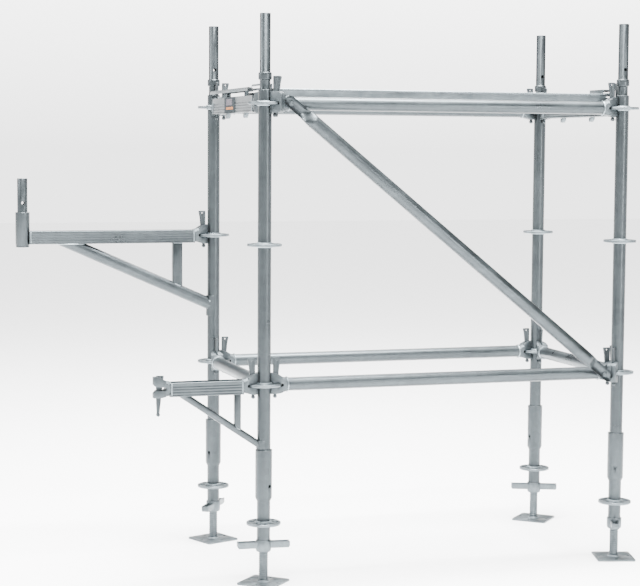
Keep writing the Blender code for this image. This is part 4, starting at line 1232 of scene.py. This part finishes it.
def build_deck():
    """Narrow plank with a perforated top, folded sides, end caps and hooks."""
    low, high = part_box("deck")
    near = low[1]
    far = high[1]
    top = TOP_LEVEL + DECK_HIGH
    bottom = top - 0.0325
    start = POST["front_left"].x + DECK_END
    end = POST["front_right"].x - DECK_END
    shell = make_deck_shell(near, far, bottom, top, start, end)
    margin = (0.03, 0.014)
    corners = ((start + margin[0], near + margin[1]), (end - margin[0], far - margin[1]))
    field, area = perforated(*corners, top, 0.0022, 0.0205, 0.0055)
    gap = 0.0002
    window = rectangle(area[0] - gap, area[1] - gap, area[2] + gap, area[3] + gap)
    shell = cut(shell, prism(window, top - 0.006, top + 0.006))
    put("deck_shell", shell, PRESSED_ZINC, "deck", "galvanised_plate", ["deck"])
    put("deck_field", field, PRESSED_ZINC, "deck", "galvanised_plate")
    claws = []
    for spot in (0.12, 0.202):
        claws += both_ends(moved(make_claw(), (0.0, spot, TOP_LEVEL)))
    cap = rectangle(DECK_END + 0.0005, near + 0.001, DECK_END + 0.004, far - 0.001)
    caps = both_ends(prism(cap, bottom + 0.001, top - 0.0016))
    crests = both_ends(moved(make_crest(), (0.0, 0.0, TOP_LEVEL)))
    # The hooks and end caps take the near-black painted-shade copy of the zinc.
    put("deck_hooks", gathered(claws), DECK_END_PAINTED_SHADE, "deck", "galvanised_plate")
    caps = gathered([softened(mesh, 0.0008) for mesh in caps])
    put("deck_end_caps", caps, DECK_END_PAINTED_SHADE, "deck", "galvanised_plate")
    put("deck_crests", gathered(crests), PRESSED_ZINC, "deck", "galvanised_plate")


build_uprights()
build_ledgers()
build_transoms()
build_brace()
build_large_bracket()
build_small_bracket()
build_wedges()
build_deck()


# stage, light and camera

def plain(name, colour, rough):
    """Matt studio surface."""
    material = bpy.data.materials.new(name)
    material.use_nodes = True
    shader = material.node_tree.nodes["Principled BSDF"]
    shader.inputs["Base Color"].default_value = (*colour, 1.0)
    shader.inputs["Roughness"].default_value = rough
    return material


floor_mesh = bpy.data.meshes.new("studio_floor")
floor_mesh.from_pydata([(-30, -30, 0), (30, -30, 0), (30, 30, 0), (-30, 30, 0)], [], [(0, 1, 2, 3)])
floor_mesh.materials.append(plain("studio_floor", (0.93, 0.93, 0.93), 0.9))
floor = bpy.data.objects.new("studio_floor", floor_mesh)
floor.location.z = -0.0005
bpy.context.scene.collection.objects.link(floor)

world = bpy.data.worlds.new("studio")
world.use_nodes = True
world_tree = world.node_tree
background = world_tree.nodes["Background"]
direction = world_tree.nodes.new("ShaderNodeTexCoord")
height = world_tree.nodes.new("ShaderNodeSeparateXYZ")
world_tree.links.new(direction.outputs["Generated"], height.inputs["Vector"])
sky = [(0.0, 0.55), (0.06, 0.8), (0.1, 1.0), (0.13, 0.03), (0.55, 0.03), (0.75, 0.9)]
world_tree.links.new(grey_ramp(world_tree, height.outputs["Z"], sky), background.inputs["Color"])
background.inputs["Strength"].default_value = 6.0
bpy.context.scene.world = world


def area_light(name, location, target, width, height, radiance):
    """Soft rectangular light aimed at a point, by the brightness of its face."""
    data = bpy.data.lights.new(name, "AREA")
    data.shape = "RECTANGLE"
    data.size = width
    data.size_y = height
    data.energy = math.pi * radiance * width * height
    light = bpy.data.objects.new(name, data)
    light.location = location
    light.rotation_mode = "QUATERNION"
    light.rotation_quaternion = (Vector(target) - Vector(location)).to_track_quat("-Z", "Y")
    bpy.context.scene.collection.objects.link(light)


centre = Vector((BAY_LENGTH / 2.0, BAY_WIDTH / 2.0, 1.0))
area_light("front_light", centre + Vector((-0.8, -4.2, 4.4)), centre, 3.4, 1.3, 50.0)
area_light("back_light", centre + Vector((0.8, 4.2, 4.4)), centre, 3.4, 1.3, 30.0)
area_light("top_light", centre + Vector((0.0, -0.4, 4.8)), centre, 3.6, 2.0, 115.0)
area_light("side_light", centre + Vector((2.2, -5.0, 0.5)), centre, 0.4, 2.3, 50.0)
area_light("rim_light", centre + Vector((-4.8, 0.6, 2.6)), centre, 1.8, 2.0, 26.0)

CAMERA_SPOT = Vector((-1.7018, -5.9534, 1.5607))
CAMERA_YAW = 0.3104
CAMERA_PITCH = -0.0826
CAMERA_ROLL = 0.0063
CAMERA_LENS = 98.25

camera_data = bpy.data.cameras.new("studio_camera")
camera_data.lens = CAMERA_LENS
camera_data.sensor_width = 36.0
camera = bpy.data.objects.new("studio_camera", camera_data)
camera.matrix_world = (
    Matrix.Translation(CAMERA_SPOT) @ Matrix.Rotation(-CAMERA_YAW, 4, "Z")
    @ Matrix.Rotation(math.pi / 2.0 + CAMERA_PITCH, 4, "X") @ Matrix.Rotation(CAMERA_ROLL, 4, "Z")
)
bpy.context.scene.collection.objects.link(camera)
bpy.context.scene.camera = camera
